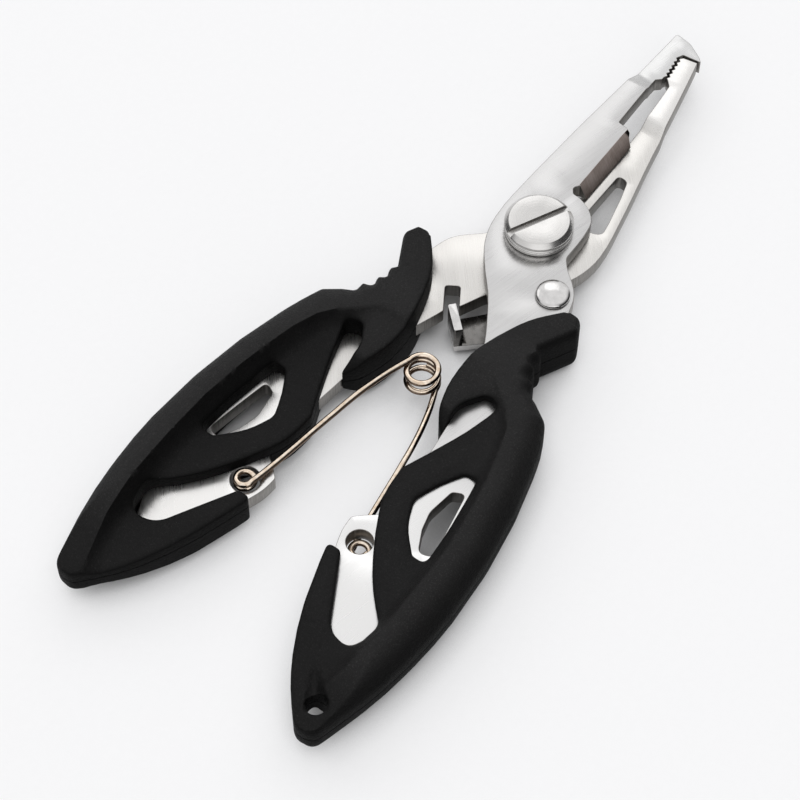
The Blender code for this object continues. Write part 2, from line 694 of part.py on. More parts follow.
def grip_mesh(name, lanyard, deeper):
    """The upper shell of the right grip, over its own middle plane at z = 0."""
    last = len(grip_outer_corners())
    outline, owners = fillet(grip_outer_corners() + grip_inner_corners(), 24)
    outline, owners = resampled(outline, owners, 2.0)
    loops = [outline, grip_eye()]
    if lanyard:
        loops.append(circle(LANYARD, LANYARD_RADIUS, 20))
    outer = []
    lobe = []
    inner = list(zip(loops[1], loops[1][1:] + loops[1][:1]))
    for i, here in enumerate(outline):
        edge = (here, outline[(i + 1) % len(outline)])
        if owners[i] < last:
            outer.append(edge)
            continue
        inner.append(edge)
        if owners[i] < last + 3:
            lobe.append(edge)
    extra = inner_points(loops, sum(1 for owner in owners if owner < last), lanyard)
    heights = {}

    def high(x, y):
        key = (round(x, 4), round(y, 4))
        if key not in heights:
            spot = np.array([[x, y]])
            heights[key] = float(grip_height(spot, outer, inner, lobe, lanyard, deeper)[0])
        return heights[key]

    return layer_mesh(name, loops, lambda x, y: SPLIT_GAP, high, extra=extra)


def tang_pocket(name):
    """The room for the right tang, from the middle plane of the grip upwards."""
    corners = tang_corners()[:-1]
    closing = [(11.9, -10.4, 0.0), (11.9, -6.0, 0.0), (7.0, -6.0, 0.0), (0.0, -12.0, 0.0)]
    outline = grown(fillet(corners + closing)[0], POCKET_PLAY)
    top = HALF_GAP + PLATE + POCKET_PLAY
    return layer_mesh(name, [outline], lambda x, y: -1.0, lambda x, y: top)


def grip_shells(side, finish):
    """Both shells of one grip: side is 1 for the right handle and -1 for the left one."""
    word = "right" if side > 0 else "left"
    for level, up in (("top", 1), ("bottom", -1)):
        name = f"{word}_grip_{level}"
        holds_tang = side == up
        mesh = grip_mesh(name, lanyard=side > 0, deeper=1.0 if holds_tang else WALL_DEEPER)
        tool = tang_pocket(name + "_pocket") if holds_tang else None
        for shape in (mesh, tool):
            if shape and side < 0:
                flipped(shape, 0)
            if shape and up < 0:
                flipped(shape, 2)
            if shape:
                moved(shape, (0, 0, MID_Z))
        shell = place(name, mesh, finish)
        if tool:
            cut_away(shell, tool)


# Pivot --------------------------------------------------------------------------------------------

def pivot_screw(finish):
    profile = [
        (0, SCREW_BOTTOM), (SHANK_RADIUS, SCREW_BOTTOM), (SHANK_RADIUS, HEAD_BOTTOM), (HEAD_RADIUS, HEAD_BOTTOM),
        (HEAD_RADIUS, HEAD_TOP - HEAD_CHAMFER), (HEAD_RADIUS - HEAD_CHAMFER, HEAD_TOP), (0, HEAD_TOP),
    ]
    screw = place("pivot_screw", turned_mesh("pivot_screw", profile), finish)
    long_way = Vector((math.cos(SLOT_ANGLE), math.sin(SLOT_ANGLE)))
    across = Vector((-long_way.y, long_way.x)) * SLOT_WIDTH / 2
    reach = long_way * (HEAD_RADIUS + 1)
    loop = [reach + across, -reach + across, -reach - across, reach - across]
    tool = layer_mesh("slot", [loop], lambda x, y: HEAD_TOP - SLOT_DEPTH, lambda x, y: HEAD_TOP + 1)
    cut_away(screw, tool)


def pivot_washer(finish):
    top = HEAD_BOTTOM - HALF_GAP
    bottom = MID_Z + HALF_GAP + PLATE + HALF_GAP
    hole = SHANK_RADIUS + WASHER_PLAY
    profile = [(hole, bottom), (WASHER_RADIUS, bottom), (WASHER_RADIUS, top), (hole, top)]
    place("pivot_washer", turned_mesh("pivot_washer", profile), finish)


def pivot_barrel_nut(finish):
    bore = SHANK_RADIUS + SCREW_PLAY
    profile = [
        (0, 0), (NUT_RADIUS - NUT_CHAMFER, 0), (NUT_RADIUS, NUT_CHAMFER), (NUT_RADIUS, NUT_TOP),
        (BARREL_RADIUS, NUT_TOP), (BARREL_RADIUS, BARREL_TOP), (bore, BARREL_TOP),
        (bore, THREAD_BOTTOM), (0, THREAD_BOTTOM),
    ]
    place("pivot_barrel_nut", turned_mesh("pivot_barrel_nut", profile), finish)


# Latch --------------------------------------------------------------------------------------------

def latch_rivet(finish):
    seat = MID_Z + HALF_GAP + PLATE + HALF_GAP
    rim = seat + RIVET_LIP
    turns = np.radians((0, 20, 40, 60, 78))
    dome = [(RIVET_HEAD_RADIUS * math.cos(a), rim + RIVET_DOME * math.sin(a)) for a in turns]
    low, chamfer, high = RIVET_FOOT
    profile = [
        (0, low), (RIVET_FOOT_RADIUS - chamfer + low, low), (RIVET_FOOT_RADIUS, chamfer),
        (RIVET_FOOT_RADIUS, high), (RIVET_RADIUS, high), (RIVET_RADIUS, seat), (RIVET_HEAD_RADIUS, seat),
        *dome, (0, rim + RIVET_DOME),
    ]
    place("latch_rivet", turned_mesh("latch_rivet", profile, 32), finish, (*RIVET, 0))


def latch_spacer(finish):
    inner, outer = SPACER
    low, high = SPACER_HEIGHTS
    profile = [(inner, low), (outer, low), (outer, high), (inner, high)]
    place("latch_spacer", turned_mesh("latch_spacer", profile, 32), finish, (*RIVET, 0))


def latch_arm(finish):
    """A flat arm under the levers with a tab bent up at its end, drawn locked and swung to its place."""
    half = TAB_WIDTH / 2
    inner = LATCH_REACH - SHEET / 2
    outer = LATCH_REACH + SHEET / 2
    corners = [
        (outer, half, 0.3), (3.0, 3.0, 2.0), (-3.0, 3.2, 3.0), (-3.0, -3.2, 3.0),
        (4.0, -3.0, SMOOTH), (9.0, -half, SMOOTH), (outer, -half, 0.3),
    ]
    hole = circle((0, 0), RIVET_HOLE_RADIUS, 20)
    mesh = layer_mesh("latch_arm", [fillet(corners)[0], hole], lambda x, y: ARM_BOTTOM,
                      lambda x, y: ARM_BOTTOM + SHEET)
    arm = place("latch_arm", mesh, finish, (*RIVET, 0))
    arm.rotation_euler.z = LATCH_LOCKED + LATCH_FREED
    tab_corners = [(inner, half, 0.0), (inner, -half, 0.0), (outer, -half, 0.3), (outer, half, 0.3)]
    tab = layer_mesh("latch_tab", [fillet(tab_corners)[0]], lambda x, y: ARM_BOTTOM, lambda x, y: TAB_TOP)
    tool = bpy.data.objects.new("latch_tab_helper", tab)
    tool.location = arm.location
    tool.rotation_euler = arm.rotation_euler
    tool.hide_render = True
    tool.display_type = "WIRE"
    bpy.context.scene.collection.objects.link(tool)
    join = arm.modifiers.new("tab", "BOOLEAN")
    join.operation = "UNION"
    join.object = tool


# Spring -------------------------------------------------------------------------------------------

def spring_path(side):
    """Wire of one half of the spring: coil, bowed leg and end loop. side is 1 right and low, -1 left."""
    rise = -side
    centre = Vector((*COIL_CENTRE, MID_Z + rise * 0.5 * COIL_PITCH))
    hole = Vector((side * SPRING_HOLE[0], SPRING_HOLE[1], 0))
    leave = 0.0 if side > 0 else math.pi
    steps = math.ceil(COIL_TURNS * 20)
    path = []
    for k in range(steps + 1):
        back = (steps - k) / steps * COIL_TURNS
        angle = leave + side * back * 2 * math.pi
        lift = rise * (COIL_TURNS - back) * COIL_PITCH
        path.append(centre + Vector((COIL_RADIUS * math.cos(angle), COIL_RADIUS * math.sin(angle), lift)))
    start = path[-1]
    loop_start = hole + Vector((-side * LOOP_RADIUS, 0, 0))
    leg_z = MID_Z + rise * (HALF_GAP + WIRE_RADIUS + 0.1)
    for k in range(1, 15):
        t = k / 15
        spot = start.lerp(Vector((loop_start.x, loop_start.y, 0)), t)
        bow = LEG_BOW * 27 / 4 * t * (1 - t) ** 2
        height = start.z + (leg_z - start.z) * min(1.0, 2.2 * t)
        path.append(Vector((spot.x + side * bow, spot.y, height)))
    turns = math.ceil(LOOP_TURNS * 14)
    for k in range(turns + 1):
        angle = math.pi * (side > 0) + side * k / 14 * 2 * math.pi
        drop = -rise * k / 14 * (2 * WIRE_RADIUS + 0.05)
        around = Vector((LOOP_RADIUS * math.cos(angle), LOOP_RADIUS * math.sin(angle), leg_z + drop))
        path.append(Vector((hole.x, hole.y, 0)) + around)
    return path


def spring_arm(side, finish):
    word = "right" if side > 0 else "left"
    name = f"spring_{word}_arm"
    origin = Vector((SPRING_HOLE[0], SPRING_HOLE[1], 0)) if side > 0 else Vector((*COIL_CENTRE, 0))
    path = [spot - origin for spot in spring_path(side)]
    place(name, wire_mesh(name, path, WIRE_RADIUS), finish, origin)


def build():
    for obj in list(bpy.data.objects):
        bpy.data.objects.remove(obj, do_unlink=True)
    steel = material("brushed_stainless", (0.62, 0.61, 0.60), 0.32, 1.0)
    bright = material("polished_steel", (0.66, 0.65, 0.64), 0.22, 1.0)
    wire = material("spring_wire", (0.62, 0.55, 0.46), 0.18, 1.0)
    plastic = material("black_moulded_plastic", (0.022, 0.022, 0.022), 0.55, 0.0)
    front_lever(steel)
    rear_lever(steel)
    grip_shells(1, plastic)
    grip_shells(-1, plastic)
    pivot_screw(bright)
    pivot_washer(bright)
    pivot_barrel_nut(bright)
    latch_rivet(bright)
    latch_spacer(bright)
    latch_arm(bright)
    spring_arm(1, wire)
    spring_arm(-1, wire)


build()
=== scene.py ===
"""Looks of the split-ring fishing pliers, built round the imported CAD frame.

Plan outlines are in millimetres in the frame's plan: the pivot at the origin, the jaws towards +Y, the
object lying on z = 0. The right grip is drawn once and mirrored in X and in the middle plane.
"""

import math

import bpy
import numpy as np
from mathutils import Matrix, Vector, geometry


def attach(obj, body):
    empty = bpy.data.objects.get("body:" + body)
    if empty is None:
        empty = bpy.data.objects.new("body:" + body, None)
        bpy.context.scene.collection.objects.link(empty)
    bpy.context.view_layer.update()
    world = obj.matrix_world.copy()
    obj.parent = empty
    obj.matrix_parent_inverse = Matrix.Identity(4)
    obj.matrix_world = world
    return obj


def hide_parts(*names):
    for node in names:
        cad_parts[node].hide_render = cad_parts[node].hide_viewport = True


MM = 0.001

# Heights, and the same dimensions as the solids of the frame
MID_Z = 5.0
HALF_GAP = 0.1
PLATE = 2.5
JOGGLE = PLATE / 2 + HALF_GAP
FRONT_RAMP = (31.1, 34.2)
REAR_RAMP = (25.9, 28.1)
RAMP_BEND = 0.15        # the share of a ramp that is bent at either end
BORE_RADIUS = 3.25
RIVET_HOLE_RADIUS = 1.3
SPRING_HOLE = (9.6, -56.3)
SPRING_HOLE_RADIUS = 1.85
LOOSE_HOLE_RADIUS = 2.1
TEETH = 5
TOOTH_DEPTH = 0.35
TEETH_BOTTOM = (-0.9, 35.9)
TEETH_TOP = (-1.4, 40.2)
TEETH_PLAY = 0.4
BLADE_TOP_X = 0.3
BLADE_EDGE_X = 1.6
BLADE_START_Y = 10.3
BLADE_END_Y = 22.2
EDGE_BREAK = 0.09       # how far the sheared edges of the steel are rounded
SMOOTH = 99.0           # the radius of corners that are given none: they take all the room there is
WALL_STEP = 1.5         # spacing of the points round a lever
HOLE_STEP = 1.0         # spacing of the points round its windows
BLADE_SLANT = 0.9       # how much further along the jaw the bevel's upper edge ends

# Grips
BAND_HEIGHT = 5.0
HORN_HEIGHT = 4.4
END_TAPER = 0.52
TAPER_START_Y = -67.0
GRIP_END_Y = -82.5
SPLIT_GAP = 0.1
POCKET_PLAY = 0.15
OUTER_LIP = 0.9
EDGE_ROUND = 0.55
EDGE_DROP = 0.35
LOBE_SLOPE_Y = -33.2
LOBE_SLOPE = 0.8
LANYARD = (19.0, -78.4)
LANYARD_RADIUS = 1.5
GROOVE_START = (15.2, -73.9)
GROOVE_DEPTH = 1.3
HORN_LIP = 2.3
LOBE_DROP = 0.65
PANEL_CROWN = 0.25
WALL_WIDTH = 3.4
WALL_DEEPER = 1.9
WALL_DROP = [
    (24.5, 0), (26, 0.4), (28.5, 0.68), (30.5, 1.05), (33, 1.3), (36, 1.4), (60, 1.4),
    (70, 1.4), (79, 1.1), (83, 0.8),
]
HOOKED_LOBE = (9.4, -37.0)      # the corner of the region that holds the lobe
LOBE_ROOT = (8.8, 12.2)         # where the lobe's height fades into the band's, above LOBE_ROOT_Y
LOBE_ROOT_Y = -29.5
PANEL_WIDTH = ((24, 30, 36, 60, 80), (1.5, 2.2, WALL_WIDTH, WALL_WIDTH, 2.4))
PANEL_CURVE = 2.3
CROWN_REACH = 3.2
HORN_FADE = (16, 8)             # where the horn's height starts to grow to the band's, and over how much
BOW_FADE = (21, 10)
BOW_REACH = (1.6, 2.6)
END_REACH = 10
LOBE_REACH = 3.4
BORDER_STEP = 0.6
GRID_STEP = 0.7
ROWS = (0.03, 0.1, 0.2, 0.34, 0.52, 0.75, 1.05, 1.4, 1.8, 2.3, 2.9, 3.5, 4.1)
TIGHT_ROWS = 6                  # of them lie on the rounded rim
TIGHT = 0.06                    # least distance between points on the rim
LOOSE = 0.28                    # least distance between the others
CREASE_ROWS = (-3.4, -2.8, -2.2, -1.6, -1.1, -0.7, -0.35, -0.12, 0.02, 0.2, 0.5)
GRIP_SHARP = 42                 # degrees
CREASE = [
    (9.6, -24.8), (10.4, -25.8), (11.8, -27.1), (14, -28.9), (15.9, -31.4), (17.3, -35), (18.4, -39.5),
    (19.3, -44), (20.2, -51), (20.4, -58), (20.3, -66), (19.5, -73), (18.1, -78.5), (17.1, -82),
]

# Pivot
HEAD_RADIUS = 5.0
HEAD_BOTTOM = 8.5
HEAD_TOP = 10.1
HEAD_CHAMFER = 0.65
WASHER_RADIUS = 4.85
SHANK_RADIUS = 2.0
SLOT_WIDTH = 0.95
SLOT_DEPTH = 0.65
SLOT_ANGLE = math.radians(63.4)
BARREL_RADIUS = 3.15
BARREL_TOP = 7.5
NUT_RADIUS = 4.6
NUT_TOP = 2.25
NUT_CHAMFER = 0.5
TURNED_ROUND = 0.07
RING_GROOVE = [(4.88, 8.5), (5.0, 8.62), (5.0, 8.78), (4.86, 8.86), (4.98, 8.98)]
SLOT_BEVEL = 0.05

# Latch
RIVET = (8.05, -8.3)
RIVET_SHANK = 1.2
RIVET_HEAD = 2.5
RIVET_DOME = 0.78
RIVET_LIP = 0.12
RIVET_TAIL = [(0, 0.2), (1.6, 0.2), (1.9, 0.45), (1.9, 0.75), (RIVET_SHANK, 0.75)]
SPACER = [(1.4, 2.25), (2.1, 2.25), (2.1, 4.95), (1.4, 4.95)]
LATCH_REACH = 14.0
LATCH_LOCKED = math.radians(213.8)
LATCH_FREED = math.radians(13.0)
SHEET = 1.2
ARM_BOTTOM = 0.9
TAB_TOP = 6.1
TAB_WIDTH = 4.6
NOTCH_WIDTH = 2.2
NOTCH_DEPTH = 4.4
NOTCH_CORNER = (-4.0, -17.9)
NOTCH_LEAN = math.radians(121.7)

# Spring
WIRE_RADIUS = 0.45
COIL_CENTRE = (0.0, -28.6)
COIL_RADIUS = 2.2
COIL_PITCH = 1.0
COIL_TURNS = 1.3
LOOP_RADIUS = 1.25
LOOP_TURNS = 1.5
LOOP_PITCH = 2 * WIRE_RADIUS + 0.05
LEG_BOW = 1.0
LEG_CLEARANCE = 0.1
COIL_STEPS = 48         # points per turn
LOOP_STEPS = 40
LEG_STEPS = 60

# Light
ROOM_COLOUR = (0.05, 0.05, 0.052)
SKY_PATCHES = [         # direction, cosines where it starts and where it is full, colour
    ((0.48, -0.67, 0.54), (0.78, 0.93), (1.35, 1.35, 1.36)),
    ((-0.22, 0.92, 0.30), (0.84, 0.96), (0.95, 0.95, 0.96)),
    ((-0.30, 0.28, 0.91), (0.42, 0.80), (1.13, 1.13, 1.14)),
    ((-0.30, -0.76, 0.58), (0.86, 0.96), (1.0, 1.0, 1.01)),
]
FLOOR_GLOW = 0.50
SHADE_REACH = 0.0075    # metres within which the object keeps the floor from glowing
FLOOR_HALF = 4000
FLOOR_LEVEL = -0.05
CAMERA_SPOT = (105.52, -180.40, 282.1)
CAMERA_RIGHT = (0.81141, 0.58447, 0.0)
CAMERA_UP = (-0.48957, 0.67966, 0.54624)
CAMERA_LENS = 108
LAMP_AIM = (0, -0.02, 0)
LAMPS = [               # name, place in metres, size, power
    ("back", (-0.42, 0.62, 0.62), 0.42, 0.35),
    ("left", (-0.75, 0.05, 0.42), 0.40, 0.3),
]

# Outlines -------------------------------------------------

def bend(start, corner, end, pieces):
    """A curve from start to end, pulled towards the corner."""
    shares = [k / pieces for k in range(pieces + 1)]
    return [start.lerp(corner, t).lerp(corner.lerp(end, t), t) for t in shares]


def fillet(corners, step=6.0):
    """The closed outline through (x, y, radius) corners, and for each point the corner it came from."""
    points = []
    owners = []
    for i, (x, y, *given) in enumerate(corners):
        radius = given[0] if given else SMOOTH
        here = Vector((x, y))
        back = Vector(corners[i - 1][:2]) - here
        ahead = Vector(corners[(i + 1) % len(corners)][:2]) - here
        turn = math.pi - back.angle(ahead)
        curve = [here]
        if radius > 0 and turn >= 1e-3:
            reach = min(radius * math.tan(turn / 2), 0.499 * min(back.length, ahead.length))
            start = here + back.normalized() * reach
            end = here + ahead.normalized() * reach
            curve = bend(start, here, end, max(1, math.ceil(math.degrees(turn) / step)))
        points += curve
        owners += [i] * len(curve)
    return points, owners


def dense(points, owners, most, splits=()):
    """The closed outline with no edge longer than most, and a point wherever it crosses y = a split."""
    new_points = []
    new_owners = []
    for i, here in enumerate(points):
        ahead = points[(i + 1) % len(points)]
        shares = {k / n for n in [max(1, math.ceil((ahead - here).length / most))] for k in range(n)}
        for y in splits:
            if min(here.y, ahead.y) + 1e-6 < y < max(here.y, ahead.y) - 1e-6:
                share = (y - here.y) / (ahead.y - here.y)
                shares = {s for s in shares if s == 0 or abs(s - share) * (ahead - here).length > 0.05}
                shares.add(share)
        for share in sorted(shares):
            new_points.append(here.lerp(ahead, share))
            new_owners.append(owners[i])
    return new_points, new_owners


def circle(centre, radius, sides=72):
    """A closed ring of points."""
    angles = [2 * math.pi * k / sides for k in range(sides)]
    return [Vector((centre[0] + radius * math.cos(a), centre[1] + radius * math.sin(a))) for a in angles]


def mirrored(points):
    """The outline on the other side of the Y axis."""
    return [Vector((-p.x, p.y)) for p in points]


def area(points):
    """Signed area of a closed outline."""
    return 0.5 * sum(a.x * b.y - b.x * a.y for a, b in zip(points, points[1:] + points[:1]))


def turned_ccw(points, owners=(), positive=True):
    """The outline in the wanted direction."""
    if (area(points) > 0) == positive:
        return list(points), list(owners)
    return list(points)[::-1], list(owners)[::-1]


def shifted(points, depth):
    """Each point moved to the left of the outline's direction by depth."""
    spots = np.array([tuple(p) for p in points])
    ahead = np.roll(spots, -1, axis=0) - spots
    ahead /= np.maximum(np.linalg.norm(ahead, axis=1), 1e-9)[:, None]
    along = ahead + np.roll(ahead, 1, axis=0)
    along /= np.maximum(np.linalg.norm(along, axis=1), 1e-9)[:, None]
    return spots + depth * np.stack([-along[:, 1], along[:, 0]], axis=1)


def inside(spots, loops):
    """Which rows of spots lie in the loops' region, by the even-odd rule."""
    odd = np.zeros(len(spots), bool)
    x, y = spots.T
    for (ax, ay), (bx, by) in [edge for loop in loops for edge in segments(loop)]:
        if ay != by:
            odd ^= ((ay > y) != (by > y)) & (x < ax + (bx - ax) * (y - ay) / (by - ay))
    return odd


def distance(spots, chain):
    """For each row of spots, how far it is from a list of (a, b) segments."""
    nearest = np.full(len(spots), np.inf)
    for a, b in chain:
        a = np.array(tuple(a))
        edge = np.array(tuple(b)) - a
        t = np.clip((spots - a) @ edge / max(edge @ edge, 1e-12), 0, 1)
        nearest = np.minimum(nearest, np.hypot(*(spots - a - t[:, None] * edge).T))
    return nearest


def segments(loop):
    """The edges of a closed loop."""
    return list(zip(loop, loop[1:] + loop[:1]))


def rim_edges(loops):
    """The numbers of the points at both ends of every edge, with the loops' points numbered in order."""
    edges = []
    for loop in loops:
        first = len(edges)
        edges += segments(list(range(first, first + len(loop))))
    return edges


# Solids ---------------------------------------------------

def cap_triangles(loops, cuts=(), extra=()):
    """Triangles over the region of the loops: (spots, triangles), the loops' points first, in order."""
    points = [Vector(p) for loop in loops for p in loop]
    border = len(points)
    points += [Vector(p) for p in extra]
    edges = rim_edges(loops) + list(cuts)
    spots, _, triangles, origins, _, _ = geometry.delaunay_2d_cdt(points, edges, [], 0, 1e-7)
    placed = [tuple(p) for p in points]
    source = []
    for spot, came_from in zip(spots, origins):
        source.append(came_from[0] if came_from else len(placed))
        if not came_from:
            placed.append(tuple(spot))
    corners = np.array([tuple(s) for s in spots])
    faces = np.array([t for t in triangles if len(t) == 3])
    kept = faces[inside(corners[faces].mean(axis=1), loops)]
    a, b, c = (corners[kept[:, k]] for k in range(3))
    flat = (b[:, 0] - a[:, 0]) * (c[:, 1] - a[:, 1]) - (b[:, 1] - a[:, 1]) * (c[:, 0] - a[:, 0])
    kept[flat < 0] = kept[flat < 0][:, ::-1]
    return np.array(placed), [[source[k] for k in face] for face in kept], border


def finished(name, vertices, faces, slots=None, sharp=38):
    """A mesh object from points in millimetres."""
    mesh = bpy.data.meshes.new(name)
    mesh.from_pydata((np.array(vertices) * MM).tolist(), [], faces)
    if slots is not None:
        mesh.polygons.foreach_set("material_index", slots)
    mesh.validate()
    mesh.shade_smooth()
    mesh.set_sharp_from_angle(angle=math.radians(sharp))
    mesh.update()
    obj = bpy.data.objects.new(name, mesh)
    bpy.context.scene.collection.objects.link(obj)
    return obj


def plate(name, outline, holes, low, high, splits=(), top_move=None, special=()):
    """A sheet-metal piece with slightly rounded rims.

    The outline is (points, owners). Material 0 is the faces, 1 the sheared walls and 2 the outline's
    walls whose owners are in special.
    """
    points, owners = turned_ccw(*outline)
    loops = [points] + [turned_ccw(hole, positive=False)[0] for hole in holes]
    flat = np.array([tuple(p) for loop in loops for p in loop])
    count = len(flat)
    base_low = np.array([low(x, y) for x, y in flat])
    base_high = np.array([high(x, y) for x, y in flat])
    upper = [[Vector(top_move(p.x, p.y)) for p in loop] for loop in loops] if top_move else loops
    rim = ((1.0, 0.0), (0.3, 0.3), (0.0, 1.0))
    rows = [(loops, share, base_low + lift * EDGE_BREAK) for share, lift in rim]
    rows += [(upper, share, base_high - lift * EDGE_BREAK) for share, lift in rim[::-1]]
    vertices = np.concatenate([
        np.column_stack([np.concatenate([shifted(loop, share * EDGE_BREAK) for loop in around]), heights])
        for around, share, heights in rows
    ])
    faces = []
    slots = []
    for a, b in rim_edges(loops):
        ground = b < len(owners) and owners[a] in special and owners[b] in special
        for row in range(5):
            faces.append((a, b, b + count, a + count))
            slots.append(2 * (row > 1) if ground else 1)
            a += count
            b += count
    cuts = []
    for y in splits:
        on_line = sorted((k for k in range(count) if abs(flat[k, 1] - y) < 1e-5), key=lambda k: flat[k, 0])
        cuts += list(zip(on_line[::2], on_line[1::2]))
    for row, level in ((0, low), (5, high)):
        spots = [Vector(p[:2]) for p in vertices[row * count:(row + 1) * count]]
        starts = np.cumsum([0] + [len(loop) for loop in loops])
        placed, triangles, _ = cap_triangles([spots[i:j] for i, j in zip(starts, starts[1:])], cuts)
        offset = len(vertices) - count
        if len(placed) > count:
            vertices = np.concatenate([vertices, [(x, y, level(x, y)) for x, y in placed[count:]]])
        for triangle in triangles:
            named = [k + (row * count if k < count else offset) for k in triangle]
            faces.append(tuple(named if row else named[::-1]))
            slots.append(0)
    return finished(name, vertices, faces, slots)


def turned(name, profile, sides=144, sharp=30):
    """A solid of revolution about Z: profile is (radius, z) from the bottom centre to the top centre."""
    vertices = []
    rings = []
    for r, z in profile:
        if r == 0:
            rings.append([len(vertices)])
            vertices.append((0, 0, z))
            continue
        rings.append(list(range(len(vertices), len(vertices) + sides)))
        for k in range(sides):
            a = 2 * math.pi * k / sides
            vertices.append((r * math.cos(a), r * math.sin(a), z))
    pairs = list(zip(rings, rings[1:]))
    if profile[0][0] > 0:
        pairs.append((rings[-1], rings[0]))
    faces = []
    for low, high in pairs:
        for k in range(sides):
            n = (k + 1) % sides
            if len(low) == 1:
                faces.append((low[0], high[n], high[k]))
            elif len(high) == 1:
                faces.append((low[k], low[n], high[0]))
            else:
                faces.append((low[k], low[n], high[n], high[k]))
    return finished(name, vertices, faces, sharp=sharp)


def rounded(profile, radius, pieces=3):
    """The open (r, z) profile with its corners rounded."""
    result = [profile[0]]
    for before, here, after in zip(profile, profile[1:], profile[2:]):
        here = Vector(here)
        back = Vector(before) - here
        ahead = Vector(after) - here
        reach = min(radius, 0.45 * back.length, 0.45 * ahead.length)
        start = here + back.normalized() * reach
        end = here + ahead.normalized() * reach
        result += [tuple(spot) for spot in bend(start, here, end, pieces)]
    return [*result, profile[-1]]


def wire(name, path, radius, sides=18):
    """A round wire along a list of points, with slightly domed ends."""
    path = [Vector(p) for p in path]
    centres = [path[0]] + path + [path[-1]]
    sizes = [radius * 0.6] + [radius] * len(path) + [radius * 0.6]
    vertices = []
    normal = None
    for i, here in enumerate(centres):
        j = min(max(i - 1, 0), len(path) - 1)
        along = (path[min(j + 1, len(path) - 1)] - path[max(j - 1, 0)]).normalized()
        if normal is None:
            normal = along.cross(Vector((0, 0, 1))).normalized()
        normal = (normal - along * normal.dot(along)).normalized()
        across = along.cross(normal)
        push = along * (-0.15 * radius if i == 0 else 0.15 * radius if i == len(centres) - 1 else 0)
        for k in range(sides):
            a = 2 * math.pi * k / sides
            vertices.append(here + push + (normal * math.cos(a) + across * math.sin(a)) * sizes[i])
    faces = [tuple(reversed(range(sides))), tuple(range(len(vertices) - sides, len(vertices)))]
    for i in range(len(centres) - 1):
        for k in range(sides):
            n = (k + 1) % sides
            a = i * sides
            faces.append((a + k, a + n, a + sides + n, a + sides + k))
    return finished(name, vertices, faces, sharp=50)


def applied(obj):
    """The object with its modifiers made part of its mesh."""
    bpy.context.view_layer.update()
    graph = bpy.context.evaluated_depsgraph_get()
    mesh = bpy.data.meshes.new_from_object(obj.evaluated_get(graph))
    obj.modifiers.clear()
    obj.data = mesh
    return obj


def cut_away(obj, tool, operation="DIFFERENCE"):
    """Takes the tool's shape out of the object, or adds it."""
    cut = obj.modifiers.new("cut", "BOOLEAN")
    cut.operation = operation
    cut.solver = "EXACT"
    cut.object = tool
    applied(obj)
    bpy.data.objects.remove(tool, do_unlink=True)
    return obj


# Levers ---------------------------------------------------

# The handle end of a lever, from the neck's inner side round its end to the neck's outer side
TANG = [
    (3.2, -17.6), (4.8, -20.4), (6.3, -24), (7.4, -28), (8.2, -32), (8.6, -36), (9.2, -40), (9.7, -46),
    (9.4, -51.3, 0.6), (7.6, -52.7, 2), (6.4, -53.8, 0.7), (6.5, -56), (7.6, -59.4), (10, -64),
    (13.6, -69, 2), (17.6, -70, 2), (20.4, -64), (21.2, -56), (20.6, -46), (18.4, -35), (15.6, -29),
    (12.4, -24), (10.9, -19), (11, -14), (11.8, -10.4, 1),
]


# The small window in a tang, inside the grip's larger one
EYE_HOLE = [
    (14.5, -47.2, 3), (15.1, -43, 0.8), (16.8, -42.2, 0.9), (17.9, -48), (18.7, -52.6, 0.9),
    (16.8, -53.2, 1.2), (15.2, -50, 3),
]


def teeth(side):
    """The zigzag of a jaw from its root to its tip: side is -1 on the front lever, 1 on the rear one."""
    low = Vector(TEETH_BOTTOM)
    high = Vector(TEETH_TOP)
    across = Vector((0.99, 0.12)).normalized()
    points = []
    for k in range(2 * TEETH + 1):
        depth = TOOTH_DEPTH if k % 2 else 0.0
        spot = low.lerp(high, k / (2 * TEETH)) + across * (depth - TOOTH_DEPTH / 2 + side * TEETH_PLAY / 2)
        points.append((spot.x, spot.y, 0.06))
    return points


def front_corners():
    """The front lever: hooked beak, cutter blade, pivot boss, neck and right tang."""
    jaw = [
        (-5, -6.6), (-6.2, -3.4), (-6.7, 1), (-6.4, 9), (-5.8, 20), (-4.95, 31), (-4.45, 40.5),
        (-4.3, 44.3, 0.5), (-1.6, 43.8, 3), (0.9, 42.3, 3), (1.75, 41.5, 0.15), (-1.25, 41.2, 0.2),
    ]
    slot = [
        (-1.3, 35.3, 0.2), (-2.05, 34.6, 0.2), (-2, 33.6, 0.3), (-1.65, 32, 0.5), (-1.65, 30),
        (-1.5, 23.5, 0.25), (0.1, 23.3, 0), (BLADE_EDGE_X, BLADE_END_Y, 0),
        (BLADE_EDGE_X, BLADE_START_Y, 0),
    ]
    relief = [(0.35, 10.2, 0.3), (-0.25, 9.35, 0.9), (0.45, 8.4, 0.6), (1.5, 8.35, 0.4)]
    boss = [(3.6, 7.6), (5.5, 5.8), (6, 2.6), (6, -1.8, 1.4), (7.2, -3.4), (9, -4.8), (10.8, -6.8)]
    neck = [(0.4, -13.2), (-2.2, -10.4)]
    blade = len(jaw) + 2 * TEETH + 1 + 6
    return jaw + teeth(-1)[::-1] + slot + relief + boss + TANG[::-1] + neck, blade


